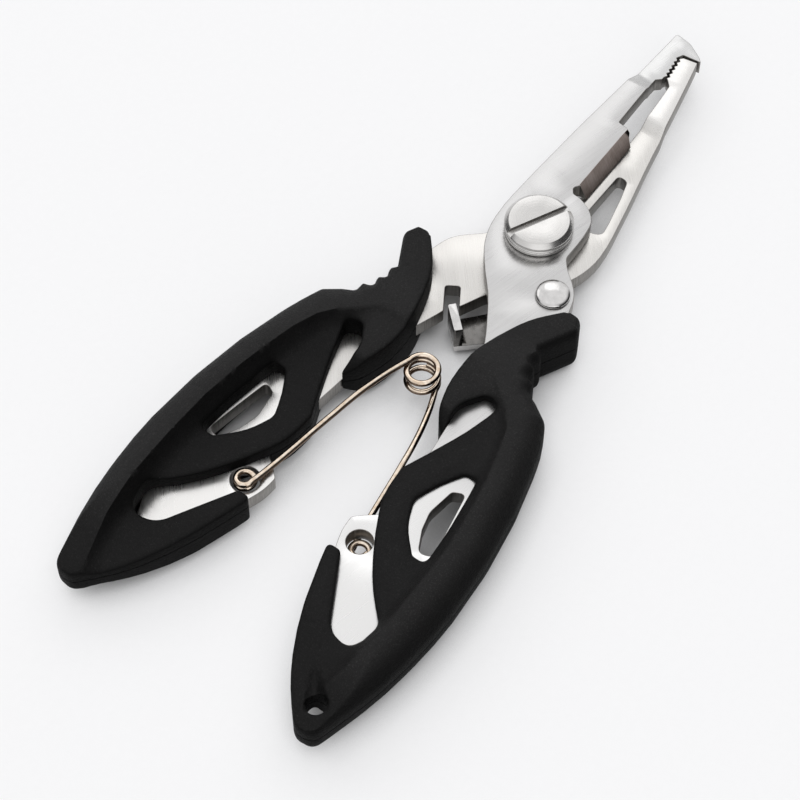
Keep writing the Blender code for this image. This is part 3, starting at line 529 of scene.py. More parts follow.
def rear_corners():
    """The rear lever: straight jaw, pivot boss, notched neck and left tang."""
    jaw = [
        (1.35, 41.1, 0.2), (1.95, 38.5), (3.9, 29), (5.3, 21.5), (7.1, 13.5), (8.8, 5), (9, 1),
        (7.9, -3.1), (5, -7.2), (1, -10.6, 2), (-0.6, -11.9),
    ]
    lean = Vector((math.cos(NOTCH_LEAN), math.sin(NOTCH_LEAN)))
    across = Vector((lean.y, -lean.x))
    corner = Vector(NOTCH_CORNER)
    mouth = corner + across * NOTCH_WIDTH + lean * 0.8
    far = corner + lean * NOTCH_DEPTH
    deep = far + across * NOTCH_WIDTH
    notch = [(*mouth, 0.2), (*deep, 0.5), (*far, 0.5), (*corner, 0.2)]
    tang = [(-x, *rest) for x, *rest in TANG[1:]]
    boss = [
        (-10.8, -6.8), (-9, -4.8), (-7.2, -3.4), (-6, -1.8, 1.4), (-6, 2.6), (-5.5, 5.8),
        (-3.6, 7.6), (-0.6, 8.6, 1.5), (0.9, 10.5, 2), (0.9, 26), (0.65, 31), (0.3, 34.7, 0.3),
        (-0.5, 35.6, 0.2),
    ]
    tip = [(-0.9, 40.75, 0.1)]
    return jaw + notch + tang + boss + teeth(1) + tip


# The lightening window in the rear jaw
JAW_WINDOW = [
    (2.9, 9), (3, 16.9, 0.8), (4.6, 16.7, 0.9), (6.1, 11.2), (6.9, 6.4, 1.1), (5, 5.6, 1.5),
    (3.1, 7.4, 1),
]


def ramped(y, span):
    """0 to 1 across a jaw's step: a straight line with short soft ends."""
    t = min(max((y - span[0]) / (span[1] - span[0]), 0.0), 1.0)
    slope = 1 / (1 - RAMP_BEND)
    if t < RAMP_BEND:
        return slope * t * t / (2 * RAMP_BEND)
    if t > 1 - RAMP_BEND:
        return 1 - slope * (1 - t) ** 2 / (2 * RAMP_BEND)
    return slope * (t - RAMP_BEND / 2)


def window(corners):
    """The points round a window in a lever."""
    return dense(*fillet(corners), HOLE_STEP)[0]


def ramp_splits(span):
    """Where the faces are divided across a jaw's step."""
    return [span[0] + (span[1] - span[0]) * k / 8 for k in range(9)]


def front_lever():
    bottom = MID_Z + HALF_GAP
    splits = ramp_splits(FRONT_RAMP)
    corners, blade = front_corners()

    def low(_, y):
        return bottom - JOGGLE * ramped(y, FRONT_RAMP)

    def bevelled(x, y):
        if x > BLADE_EDGE_X - 0.01 and BLADE_START_Y - 0.01 < y < BLADE_END_Y + 0.01:
            rise = (y - BLADE_START_Y) / (BLADE_END_Y - BLADE_START_Y)
            return BLADE_TOP_X, y + BLADE_SLANT * rise
        return x, y

    outline = dense(*fillet(corners), WALL_STEP, splits)
    holes = [
        circle((0, 0), BORE_RADIUS), circle(RIVET, RIVET_HOLE_RADIUS), window(EYE_HOLE),
        circle(SPRING_HOLE, SPRING_HOLE_RADIUS),
    ]
    return plate("front_lever_steel", outline, holes, low, lambda x, y: low(x, y) + PLATE, splits,
                 top_move=bevelled, special=range(blade, blade + 3))


def rear_lever():
    bottom = MID_Z - HALF_GAP - PLATE
    splits = ramp_splits(REAR_RAMP)
    left_hole = (-SPRING_HOLE[0], SPRING_HOLE[1])

    def low(_, y):
        return bottom + JOGGLE * ramped(y, REAR_RAMP)

    outline = dense(*fillet(rear_corners()), WALL_STEP, splits)
    holes = [
        circle((0, 0), BORE_RADIUS), window(JAW_WINDOW), mirrored(window(EYE_HOLE)),
        circle(left_hole, LOOSE_HOLE_RADIUS),
    ]
    return plate("rear_lever_steel", outline, holes, low, lambda x, y: low(x, y) + PLATE, splits)


# Grips ----------------------------------------------------

# The side away from the other handle: horn end, thumb ridges, shoulder and long bow to the end
GRIP_OUTER = [
    (12, -9.9, 0.9), (13.9, -10.1, 1), (15, -12.3, 1.2), (13.4, -15.4), (12.2, -17.7, 0.5),
    (13, -18.6, 0.7), (12.4, -20.1, 0.5), (13.5, -20.8, 0.7), (13.1, -22.3, 0.5), (14.6, -22.7, 0.7),
    (14.8, -24.2, 0.5), (16.4, -24.9, 2), (19, -26.5, 2), (20.6, -29.6), (22.6, -36.3), (24.2, -44),
    (25.2, -53), (25.3, -61), (24.3, -70.5), (22.6, -77.6), (21.2, -82.2, 2),
]


# The side towards the other handle, from the end: lobe, slot, strut, crescent, hooked lobe, horn
GRIP_INNER = [
    (18.4, -82.4, 2), (14, -77.5), (10.6, -71.5), (8, -64.6), (6.4, -59, 1), (8.5, -59, 0.9),
    (12, -65.2), (14.4, -69.5), (18.5, -69.9), (19.3, -65.2, 2.4), (14.6, -60.6), (10.5, -54.2),
    (7.9, -48.8), (7.6, -44, 2), (9.9, -38.4), (12, -32.6), (12.9, -29, 1.1), (10.6, -28, 1.6),
    (8.5, -31.2), (8.25, -33.4), (8.7, -36.3, 0.4), (6.6, -34.4), (5, -29.6), (4.9, -25), (6.1, -19.6),
    (8, -14.6),
]


# The eye-shaped window through a grip
GRIP_EYE = [
    (11.8, -47, 2.2), (13.2, -43.2), (15.2, -39.9, 1), (17, -39.9, 0.9), (17.9, -45), (18.6, -51),
    (18.7, -54.3, 1), (16.6, -54.2, 1), (13.4, -50.9),
]


def step_up(t):
    """0 to 1 with soft ends, for arrays."""
    t = np.clip(t, 0, 1)
    return t * t * (3 - 2 * t)


def grip_height(spots, outer, inner, lobe, lanyard, deeper):
    """Height of a grip's face above the middle plane at each plan point."""
    x, y = spots.T
    down = -y
    past = x - np.interp(down, [-p[1] for p in CREASE], [p[0] for p in CREASE])
    away = np.where(past < 0, distance(spots, list(zip(CREASE, CREASE[1:]))), 0)
    hooked = (x < HOOKED_LOBE[0]) & (y > HOOKED_LOBE[1])
    fade = 1 - step_up((x - LOBE_ROOT[0]) / (LOBE_ROOT[1] - LOBE_ROOT[0]))
    root = np.where(y > LOBE_ROOT_Y, fade, hooked)
    deep = np.interp(down, [p[0] for p in WALL_DROP], [p[1] for p in WALL_DROP]) * deeper
    deep = deep + (np.minimum(deep, LOBE_DROP) - deep) * root
    wide = np.interp(down, *PANEL_WIDTH)
    height = BAND_HEIGHT - deep * (1 - (1 - np.clip(away / wide, 0, 1)) ** PANEL_CURVE)
    height = height - (BAND_HEIGHT - HORN_HEIGHT) * (1 - step_up((down - HORN_FADE[0]) / HORN_FADE[1]))
    dip = hooked & (y < LOBE_SLOPE_Y)
    height = np.where(dip, height - LOBE_SLOPE * (LOBE_SLOPE_Y - y), height)
    taper = END_TAPER * step_up((TAPER_START_Y - y) / (TAPER_START_Y - GRIP_END_Y))
    height = height * (1 - taper)
    gap = distance(spots, inner)
    height = height - PANEL_CROWN * (1 - np.clip(gap / CROWN_REACH, 0, 1)) ** 2
    height = height - EDGE_DROP * (1 - np.sqrt(1 - (1 - np.clip(gap / EDGE_ROUND, 0, 1)) ** 2))
    bow = step_up((down - BOW_FADE[0]) / BOW_FADE[1])
    lip = HORN_LIP + (OUTER_LIP - HORN_LIP) * bow
    height = np.minimum(height, shoulder(distance(spots, outer), BOW_REACH[0] + BOW_REACH[1] * bow, lip))
    end = step_up((y - GRIP_END_Y) / END_REACH)
    lip = OUTER_LIP + (BAND_HEIGHT - OUTER_LIP) * end
    height = np.minimum(height, shoulder(distance(spots, lobe), LOBE_REACH * (1 - end) + 0.01, lip))
    return height - lanyard_groove(x, y) if lanyard else height


def shoulder(away, reach, lip):
    """An elliptical shoulder rising from the lip height at the border to the band height."""
    share = np.clip(away / reach, 0, 1)
    return lip + (BAND_HEIGHT - lip) * np.sqrt(1 - (1 - share) ** 2)


def lanyard_groove(x, y):
    """Depth of the tapering gouge that leads to the lanyard hole."""
    axis = np.array(LANYARD) - np.array(GROOVE_START)
    length = np.hypot(*axis)
    axis = axis / length
    along = (x - GROOVE_START[0]) * axis[0] + (y - GROOVE_START[1]) * axis[1]
    aside = np.abs((x - GROOVE_START[0]) * axis[1] - (y - GROOVE_START[1]) * axis[0])
    share = np.clip(along / length, 0, 1)
    half = 0.15 + (LANYARD_RADIUS + 0.1) * share
    depth = GROOVE_DEPTH * share * np.clip(1 - (aside / half) ** 1.6, 0, 1)
    fade = np.clip(1 - (along - length) / 1.9, 0, 1)
    return depth * fade


def thinned(spots, spacing):
    """The rows of spots, without those closer than spacing to an earlier one."""
    cells = {}
    kept = []
    for x, y in spots:
        key = (math.floor(x / spacing), math.floor(y / spacing))
        around = [(key[0] + dx, key[1] + dy) for dx in (-1, 0, 1) for dy in (-1, 0, 1)]
        near = [p for cell in around for p in cells.get(cell, ())]
        if all((x - p[0]) ** 2 + (y - p[1]) ** 2 > spacing ** 2 for p in near):
            cells.setdefault(key, []).append((x, y))
            kept.append((x, y))
    return np.array(kept)


def grip_surface(lanyard, deeper):
    """Vertices and faces of the right grip's upper shell over its own middle plane."""
    corners = GRIP_OUTER + GRIP_INNER
    points, owners = turned_ccw(*dense(*fillet(corners), BORDER_STEP))
    last = len(GRIP_OUTER)
    loops = [points, turned_ccw(*dense(*fillet(GRIP_EYE), BORDER_STEP), positive=False)[0]]
    if lanyard:
        loops.append(turned_ccw(circle(LANYARD, LANYARD_RADIUS, 48), positive=False)[0])
    outer = []
    lobe = []
    inner = segments(loops[1])
    for k, edge in enumerate(segments(points)):
        if owners[k] < last and owners[(k + 1) % len(points)] < last:
            outer.append(edge)
        elif edge[0].y < -68 and edge[0].x > 13 or edge[0].y < -68 and owners[k] < last + 4:
            lobe.append(edge)
        else:
            inner.append(edge)
    inner += lobe
    chain = outer + inner + [edge for loop in loops[2:] for edge in segments(loop)]
    wanted = []
    for depth in ROWS:
        spots = np.concatenate([shifted(loop, depth) for loop in loops])
        spots = spots[inside(spots, loops)]
        wanted.append(spots[distance(spots, chain) > 0.93 * depth])
    rows = wanted[:TIGHT_ROWS] + [spots[distance(spots, inner) > 0.6] for spots in wanted[TIGHT_ROWS:]]
    crease = []
    for a, b in zip(CREASE, CREASE[1:]):
        pieces = math.ceil(math.dist(a, b) / BORDER_STEP)
        for k in range(pieces):
            spot = Vector(a).lerp(Vector(b), k / pieces)
            crease += [(spot.x + aside, spot.y) for aside in CREASE_ROWS]
    crease = np.array(crease)
    crease = crease[inside(crease, loops)]
    crease = crease[distance(crease, chain) > 0.5]
    xs, ys = np.meshgrid(np.arange(4, 26, GRID_STEP), np.arange(-84, -9, GRID_STEP))
    grid = np.column_stack([xs.ravel(), ys.ravel()])
    grid = grid[inside(grid, loops)]
    grid = grid[distance(grid, chain) > 0.9]
    tight = thinned(np.concatenate(rows[:TIGHT_ROWS]), TIGHT)
    loose = thinned(np.concatenate([crease, *rows[TIGHT_ROWS:], grid]), LOOSE)
    placed, triangles, border = cap_triangles(loops, extra=np.concatenate([tight, loose]))
    heights = grip_height(placed, outer, inner, lobe, lanyard, deeper)
    flat = placed[:border]
    vertices = np.concatenate([
        np.column_stack([placed, heights]), np.column_stack([flat, np.full(border, SPLIT_GAP)]),
    ])
    below = len(placed)
    faces = [tuple(t) for t in triangles]
    faces += [(a + below, b + below, b, a) for a, b in rim_edges(loops)]
    _, bottom, _ = cap_triangles(loops)
    faces += [tuple(k + below for k in t[::-1]) for t in bottom]
    return vertices, faces


def tang_pocket():
    """The room for the right tang, from the middle plane of the grip upwards."""
    corners = TANG + [(7.0, -6.0, 0.0), (0.0, -12.0, 0.0)]
    outline = turned_ccw(*fillet(corners))[0]
    grown = [Vector(p) for p in shifted(outline, -POCKET_PLAY)]
    placed, triangles, _ = cap_triangles([grown])
    top = HALF_GAP + PLATE + POCKET_PLAY
    vertices = np.concatenate([
        np.column_stack([placed, np.full(len(placed), -1.0)]),
        np.column_stack([placed, np.full(len(placed), top)]),
    ])
    rise = len(placed)
    faces = [tuple(t[::-1]) for t in triangles] + [tuple(k + rise for k in t) for t in triangles]
    return vertices, faces + [(a, b, b + rise, a + rise) for a, b in rim_edges([grown])]


def placed_shape(vertices, faces, side, up):
    """The shape mirrored to its side and level, and lifted to the middle plane."""
    moved = np.array(vertices) * (side, 1, up) + (0, 0, MID_Z)
    return moved, [tuple(reversed(f)) for f in faces] if side * up < 0 else faces


def grips(finish):
    pocket = tang_pocket()
    for side, word, body in ((1, "right", "front_half"), (-1, "left", "rear_half")):
        for level, up in (("top", 1), ("bottom", -1)):
            surface = grip_surface(lanyard=side > 0, deeper=1.0 if side == up else WALL_DEEPER)
            shell = finished(f"{word}_shell_{level}", *placed_shape(*surface, side, up), sharp=GRIP_SHARP)
            if side == up:
                cut_away(shell, finished("pocket", *placed_shape(*pocket, side, up)))
                shell.data.set_sharp_from_angle(angle=math.radians(GRIP_SHARP))
            dress(shell, [finish], body, f"{word}_grip_{level}")


# Pivot, latch and spring ----------------------------------

def slotted_screw():
    profile = rounded([
        (0, 1.3), (SHANK_RADIUS, 1.3), (SHANK_RADIUS, HEAD_BOTTOM), *RING_GROOVE,
        (HEAD_RADIUS, HEAD_TOP - HEAD_CHAMFER), (HEAD_RADIUS - HEAD_CHAMFER, HEAD_TOP), (0, HEAD_TOP),
    ], TURNED_ROUND)
    screw = turned("screw_turned", profile)
    long_way = Vector((math.cos(SLOT_ANGLE), math.sin(SLOT_ANGLE)))
    across = Vector((-long_way.y, long_way.x)) * SLOT_WIDTH / 2
    reach = long_way * (HEAD_RADIUS + 1)
    low, high = HEAD_TOP - SLOT_DEPTH, HEAD_TOP + 1
    corners = [reach + across, -reach + across, -reach - across, reach - across]
    vertices = [(*c, z) for z in (low, high) for c in corners]
    faces = [(3, 2, 1, 0), (4, 5, 6, 7)] + [(k, (k + 1) % 4, (k + 1) % 4 + 4, k + 4) for k in range(4)]
    cut_away(screw, finished("slot", vertices, faces))
    bevel = screw.modifiers.new("bevel", "BEVEL")
    bevel.limit_method = "ANGLE"
    bevel.angle_limit = math.radians(50)
    bevel.width = SLOT_BEVEL * MM
    bevel.segments = 2
    applied(screw)
    screw.data.shade_smooth()
    screw.data.set_sharp_from_angle(angle=math.radians(30))
    # painted shade: the slot's upright walls take the dark sheared-wall material
    for face in screw.data.polygons:
        aside = abs(face.center.dot(Vector((across.x, across.y, 0)).normalized())) / MM
        upright = abs(face.normal.z) < 0.5
        if upright and aside < SLOT_WIDTH / 2 + 0.02 and face.center.z > (HEAD_TOP - SLOT_DEPTH) * MM:
            face.material_index = 1
    return screw


def washer():
    top = HEAD_BOTTOM - HALF_GAP
    bottom = MID_Z + HALF_GAP + PLATE + HALF_GAP
    hole = SHANK_RADIUS + 0.2
    edge = 0.12
    profile = [
        (hole, bottom), (WASHER_RADIUS - edge, bottom), (WASHER_RADIUS, bottom + edge),
        (WASHER_RADIUS, top - edge), (WASHER_RADIUS - edge, top), (hole, top),
    ]
    return turned("washer_turned", profile)


def barrel_nut():
    bore = SHANK_RADIUS + 0.15
    profile = rounded([
        (0, 0), (NUT_RADIUS - NUT_CHAMFER, 0), (NUT_RADIUS, NUT_CHAMFER), (NUT_RADIUS, NUT_TOP),
        (BARREL_RADIUS, NUT_TOP), (BARREL_RADIUS, BARREL_TOP), (bore, BARREL_TOP), (bore, 1.1), (0, 1.1),
    ], TURNED_ROUND)
    return turned("nut_turned", profile)


def moved(obj, offset):
    """The object's mesh shifted by an offset in millimetres."""
    obj.data.transform(Matrix.Translation(Vector(offset) * MM))
    return obj


def rivet():
    top = MID_Z + HALF_GAP + PLATE + HALF_GAP
    base = top + RIVET_LIP
    angles = np.radians(range(0, 90, 6))
    dome = [(RIVET_HEAD * math.cos(a), base + RIVET_DOME * math.sin(a)) for a in angles]
    tail = rounded([*RIVET_TAIL, (RIVET_SHANK, top), (RIVET_HEAD, top)], 0.06)
    return moved(turned("rivet_formed", [*tail, *dome, (0, base + RIVET_DOME)], 96), (*RIVET, 0))


def spacer():
    return moved(turned("spacer_turned", SPACER, 72), (*RIVET, 0))


def latch_plate():
    """The flat arm under the levers with its tab bent up at the end."""
    half = TAB_WIDTH / 2
    inner = LATCH_REACH - SHEET / 2
    outer = LATCH_REACH + SHEET / 2
    corners = [
        (outer, half, 0.3), (3.0, 3.0, 2.0), (-3.0, 3.2, 3.0), (-3.0, -3.2, 3.0),
        (4.0, -3.0), (9.0, -half), (outer, -half, 0.3),
    ]
    arm = plate("latch_plate", dense(*fillet(corners), 1.0), [circle((0, 0), RIVET_HOLE_RADIUS)],
                lambda x, y: ARM_BOTTOM, lambda x, y: ARM_BOTTOM + SHEET)
    tab_corners = [(inner, half, 0.0), (inner, -half, 0.0), (outer, -half, 0.3), (outer, half, 0.3)]
    tab = plate("tab", fillet(tab_corners), [], lambda x, y: ARM_BOTTOM + 0.2, lambda x, y: TAB_TOP)
    cut_away(arm, tab, "UNION")
    # painted highlight: the arm's side walls and the tab's top take the bright polished finish, the rest
    # the dark latch steel
    for face in arm.data.polygons:
        rim = abs(face.normal.z) < 0.7 and face.center.z < (ARM_BOTTOM + SHEET) * MM
        face.material_index = int(rim or face.center.z > (TAB_TOP - 2 * EDGE_BREAK) * MM)
    turn = Matrix.Rotation(LATCH_LOCKED + LATCH_FREED, 4, "Z")
    arm.data.transform(Matrix.Translation(Vector((*RIVET, 0)) * MM) @ turn)
    return arm


def spring_path(side):
    """Wire of one half of the spring: coil, bowed leg and end loop. side is 1 right and low, -1 left."""
    rise = -side
    centre = Vector((*COIL_CENTRE, MID_Z + rise * 0.5 * COIL_PITCH))
    hole = Vector((side * SPRING_HOLE[0], SPRING_HOLE[1], 0))
    leave = 0.0 if side > 0 else math.pi
    steps = math.ceil(COIL_TURNS * COIL_STEPS)
    path = []
    for k in range(steps + 1):
        back = (steps - k) / steps * COIL_TURNS
        angle = leave + side * back * 2 * math.pi
        lift = rise * (COIL_TURNS - back) * COIL_PITCH
        path.append(centre + Vector((COIL_RADIUS * math.cos(angle), COIL_RADIUS * math.sin(angle), lift)))
    start = path[-1]
    loop_start = hole + Vector((-side * LOOP_RADIUS, 0, 0))
    leg_z = MID_Z + rise * (HALF_GAP + WIRE_RADIUS + LEG_CLEARANCE)
    for k in range(1, LEG_STEPS):
        t = k / LEG_STEPS
        spot = start.lerp(Vector((loop_start.x, loop_start.y, 0)), t)
        bow = LEG_BOW * 27 / 4 * t * (1 - t) ** 2
        height = start.z + (leg_z - start.z) * min(1.0, 2.2 * t)
        path.append(Vector((spot.x + side * bow, spot.y, height)))
    for k in range(math.ceil(LOOP_TURNS * LOOP_STEPS) + 1):
        angle = math.pi * (side > 0) + side * k / LOOP_STEPS * 2 * math.pi
        drop = -rise * k / LOOP_STEPS * LOOP_PITCH
        around = Vector((LOOP_RADIUS * math.cos(angle), LOOP_RADIUS * math.sin(angle), leg_z + drop))
        path.append(Vector((hole.x, hole.y, 0)) + around)
    return path


# Materials ------------------------------------------------

def connect(tree, value, socket):
    """Links a socket to another one, or sets its value."""
    if isinstance(value, bpy.types.NodeSocket):
        tree.links.new(value, socket)
    else:
        socket.default_value = value


def new_node(tree, kind, inputs=None, **settings):
    """A node with its properties set, and its inputs by number or name."""
    node = tree.nodes.new(kind)
    for key, value in settings.items():
        setattr(node, key, value)
    for key, value in (inputs or {}).items():
        connect(tree, value, node.inputs[key])
    return node


class Finish:
    """A node material being wired up."""

    def __init__(self, name, colour, roughness, metallic):
        self.material = bpy.data.materials.new(name)
        self.material.use_nodes = True
        self.tree = self.material.node_tree
        self.shader = self.tree.nodes["Principled BSDF"].inputs
        self.shader["Base Color"].default_value = (*colour, 1)
        self.shader["Roughness"].default_value = roughness
        self.shader["Metallic"].default_value = metallic
        coordinates = self.add("TexCoord").outputs
        self.place = coordinates["Object"]
        self.normal = coordinates["Normal"]

    def add(self, kind, inputs=None, **settings):
        return new_node(self.tree, "ShaderNode" + kind, inputs, **settings)

    def mapped(self, vector, **inputs):
        """The vector moved, turned and scaled."""
        return self.add("Mapping", {"Vector": vector, **inputs}).outputs[0]

    def part(self, vector, axis):
        """One coordinate of a vector."""
        return self.add("SeparateXYZ", {0: vector}).outputs[axis]

    def noise(self, scale, detail=3.0, roughness=0.55, turn=0.0, shift=(0, 0, 0), place=None):
        """Noise of scale cycles per metre along the axes of the object, or of place, turned about Z."""
        scale = scale if isinstance(scale, tuple) else (scale,) * 3
        turned_place = self.mapped(place or self.place, Rotation=(0, 0, turn))
        vector = self.mapped(turned_place, Scale=scale, Location=shift)
        inputs = {"Vector": vector, "Scale": 1.0, "Detail": detail, "Roughness": roughness}
        return self.add("TexNoise", inputs).outputs["Fac"]

    def ranged(self, value, low, high, start=0.3, end=0.7):
        """Goes from low to high while the value goes from start to end."""
        limits = {"Value": value, "From Min": start, "From Max": end, "To Min": low, "To Max": high}
        return self.add("MapRange", limits).outputs["Result"]

    def math(self, operation, a, b=0.0):
        return self.add("Math", {0: a, 1: b}, operation=operation).outputs[0]

    def added(self, a, b):
        return self.math("ADD", a, b)

    def averaged(self, a, b, share=0.5):
        """The mean of two values, with that share of the first."""
        return self.added(self.math("MULTIPLY", a, share), self.math("MULTIPLY", b, 1 - share))

    def mixed(self, share, low, high):
        """A colour between low and high."""
        low, high = ((*c, 1) if isinstance(c, tuple) else c for c in (low, high))
        return self.add("Mix", {0: share, 6: low, 7: high}, data_type="RGBA").outputs[2]

    def between(self, value, low, high, start=0.3, end=0.7, most=1.0):
        """The colour low, and from start to end of the value up to most of the colour high."""
        return self.mixed(self.ranged(value, 0.0, most, start, end), low, high)

    def wire(self, colour, relief, depth, **others):
        """The material with its colour, its relief of depth metres and other sockets joined up."""
        normal = self.add("Bump", {"Height": relief, "Distance": depth}).outputs["Normal"]
        for key, value in {"Base_Color": colour, "Normal": normal, **others}.items():
            self.tree.links.new(value, self.shader[key.replace("_", " ")])
        return self.material


def toned(tone, share):
    """A lighter or darker tone."""
    return tuple(share * c for c in tone)


def brushed_steel(name, turn, tone, depth, tip, tip_tone, tang_painted_light_tone):
    """Rolled and brushed stainless sheet: fine lines one way, soft patches, a few handling marks.

    Beyond the height tip along the jaws the sheet has another tone. Inside the grip it has a third, much
    lighter one: painted light for the strips of tang that show through the grip's slots.
    """
    f = Finish(name, tone, 0.3, 1.0)
    fine = f.noise((9000, 260, 9000), 4, turn=turn)
    coarse = f.noise((2600, 60, 2600), turn=turn)
    patch = f.noise(90)
    marks = f.noise((700, 30, 700), 2, turn=turn + 0.9)
    lines = f.averaged(fine, coarse, 0.6)
    colour = f.between(lines, toned(tone, 0.90), toned(tone, 1.08))
    colour = f.between(patch, colour, toned(tone, 0.84), 0.35, most=0.15)
    along = f.part(f.place, "Y")
    colour = f.between(along, colour, tip_tone, (tip - 1.2) * MM, (tip + 0.8) * MM, 0.8)
    # painted light: inside the grip the sheet is made much lighter
    colour = f.between(along, colour, tang_painted_light_tone, -35 * MM, -44 * MM, 0.85)
    rough = f.added(f.ranged(lines, 0.23, 0.34), f.ranged(patch, -0.01, 0.02))
    rough = f.added(rough, f.ranged(marks, 0.0, 0.03, 0.62, 0.75))
    return f.wire(colour, lines, depth, Roughness=rough)


def sheared_steel(name):
    """The punched wall of sheet metal: vertical drag lines, darker and rougher than the face."""
    f = Finish(name, (0.16, 0.15, 0.14), 0.42, 1.0)
    drag = f.noise((5200, 5200, 240), 4, 0.65)
    band = f.noise((300, 300, 900), 2)
    colour = f.between(drag, (0.17, 0.162, 0.154), (0.37, 0.357, 0.34))
    rough = f.ranged(f.added(drag, f.math("MULTIPLY", band, 0.5)), 0.3, 0.56, 0.5, 1.0)
    return f.wire(colour, drag, 0.000009, Roughness=rough)


def ground_blade(name):
    """The cutter's ground bevel, with grinding lines across the edge; its dark brown tone is a painted
    dark reflection.
    """
    f = Finish(name, (0.12, 0.10, 0.09), 0.34, 1.0)
    lines = f.noise((500, 8000, 500), turn=0.15)
    colour = f.between(lines, (0.15, 0.118, 0.104), (0.31, 0.26, 0.235))
    colour = f.between(f.noise(350), colour, (0.40, 0.345, 0.32), 0.4, most=0.5)
    return f.wire(colour, lines, 0.000012, Roughness=f.ranged(lines, 0.28, 0.42))


def turned_steel(name, tone):
    """Lathe-turned stainless: tool marks round the object's own Z axis and a fan-shaped sheen."""
    f = Finish(name, tone, 0.24, 1.0)
    f.shader["Anisotropic"].default_value = 0.55
    radius = f.add("VectorMath", {0: f.mapped(f.place, Scale=(1, 1, 0))}, operation="LENGTH")
    line = f.add("CombineXYZ", {"X": radius.outputs["Value"]}).outputs[0]
    rings = f.noise((9000, 1, 1), place=line)
    patch = f.noise(420)
    colour = f.between(rings, toned(tone, 0.90), toned(tone, 1.05))
    colour = f.between(patch, colour, toned(tone, 0.78), 0.4, most=0.3)
    rough = f.added(f.ranged(rings, 0.18, 0.3), f.ranged(patch, -0.03, 0.05))
    tangent = f.add("Tangent", direction_type="RADIAL", axis="Z").outputs[0]
    return f.wire(colour, rings, 0.000012, Roughness=rough, Tangent=tangent)


def polished_steel(name, tone, roughness):
    """Tumbled bright steel with faint dents and haze."""
    f = Finish(name, tone, roughness, 1.0)
    haze = f.noise(900, 4)
    colour = f.between(haze, tone, toned(tone, 0.84), 0.35)
    rough = f.ranged(haze, roughness * 0.7, roughness * 1.6)
    return f.wire(colour, f.noise(380, 2), 0.00003, Roughness=rough)


def spring_steel(name):
    """Drawn nickel-bright wire with a warm cast and faint die lines; its sides carry a painted dark-brown
    reflection.
    """
    f = Finish(name, (0.62, 0.50, 0.39), 0.14, 1.0)
    haze = f.noise(1300)
    colour = f.between(haze, (0.80, 0.70, 0.59), (0.60, 0.47, 0.35), 0.35)
    # painted reflection: dark brown wherever the wire's surface turns away from straight up
    colour = f.between(f.part(f.normal, "Z"), (0.13, 0.085, 0.055), colour, 0.30, 0.80)
    return f.wire(colour, f.noise((6000, 900, 6000), 2), 0.000008, Roughness=f.ranged(haze, 0.10, 0.22))


def moulded_plastic(name):
    """Black spark-textured nylon: grain with worn peaks, flow patches, and dust.

    Flat and raised places are painted lighter and glossier than the walls and the hollow panels: painted
    light on the tops, painted shade on the rest.
    """
    f = Finish(name, (0.02, 0.02, 0.02), 0.5, 0.0)
    grain = f.noise(5200, 3, 0.6)
    pores = f.noise(1500)
    flow = f.noise((90, 55, 90))
    dust = f.noise(2400, 1, shift=(3, 7, 1))
    height = f.math("ABSOLUTE", f.math("SUBTRACT", f.part(f.place, "Z"), MID_Z * MM))
    # painted light and shade: faces that look up and stand high keep the full colour and more gloss, walls
    # and hollows turn near-black
    flat = f.ranged(f.part(f.normal, "Z"), 0.0, 1.0, 0.35, 0.95)
    painted_top_light = f.math("MULTIPLY", flat, f.ranged(height, 0.55, 1.0, 3.3 * MM, 4.8 * MM))
    colour = f.between(flow, (0.009, 0.0087, 0.0087), (0.016, 0.0156, 0.0156))
    colour = f.between(grain, colour, (0.055, 0.054, 0.053), 0.54, 0.72, 0.6)
    colour = f.mixed(painted_top_light, (0.0035, 0.0035, 0.0035), colour)
    colour = f.between(pores, colour, (0.002, 0.002, 0.002), 0.45, 0.30, 0.3)
    colour = f.between(dust, colour, (0.12, 0.12, 0.115), 0.79, 0.83, 0.3)
    rough = f.added(f.ranged(grain, 0.46, 0.62), f.ranged(flow, -0.06, 0.06))
    gloss = f.ranged(painted_top_light, 0.035, 0.155, 0.0, 1.0)
    relief = f.averaged(grain, pores)
    return f.wire(colour, relief, 0.00022, Roughness=rough, Specular_IOR_Level=gloss)


def paper(name):
    """White sheet that glows as if lit from below, and is lit from above; near the object the glow fades:
    painted shadow.
    """
    f = Finish(name, (0.46, 0.46, 0.462), 0.8, 0.0)
    f.shader["Specular IOR Level"].default_value = 0.1
    f.shader["Emission Color"].default_value = (1.0, 1.0, 1.008, 1)
    open_sky = f.add("AmbientOcclusion", {"Distance": SHADE_REACH}, samples=8).outputs["AO"]
    fibre = f.noise(900)
    colour = f.between(fibre, (0.455, 0.455, 0.457), (0.465, 0.465, 0.467))
    # painted shadow: the glow fades out where the object is close
    glow = f.ranged(open_sky, 0.0, FLOOR_GLOW, 0.2, 0.72)
    return f.wire(colour, fibre, 0.00002, Emission_Strength=glow)


# Scene ----------------------------------------------------

def dress(obj, materials, body, *nodes):
    """Gives a piece its materials, and lets it stand for CAD nodes on a body."""
    for one in materials:
        obj.data.materials.append(one)
    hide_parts(*nodes)
    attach(obj, body)
    return obj


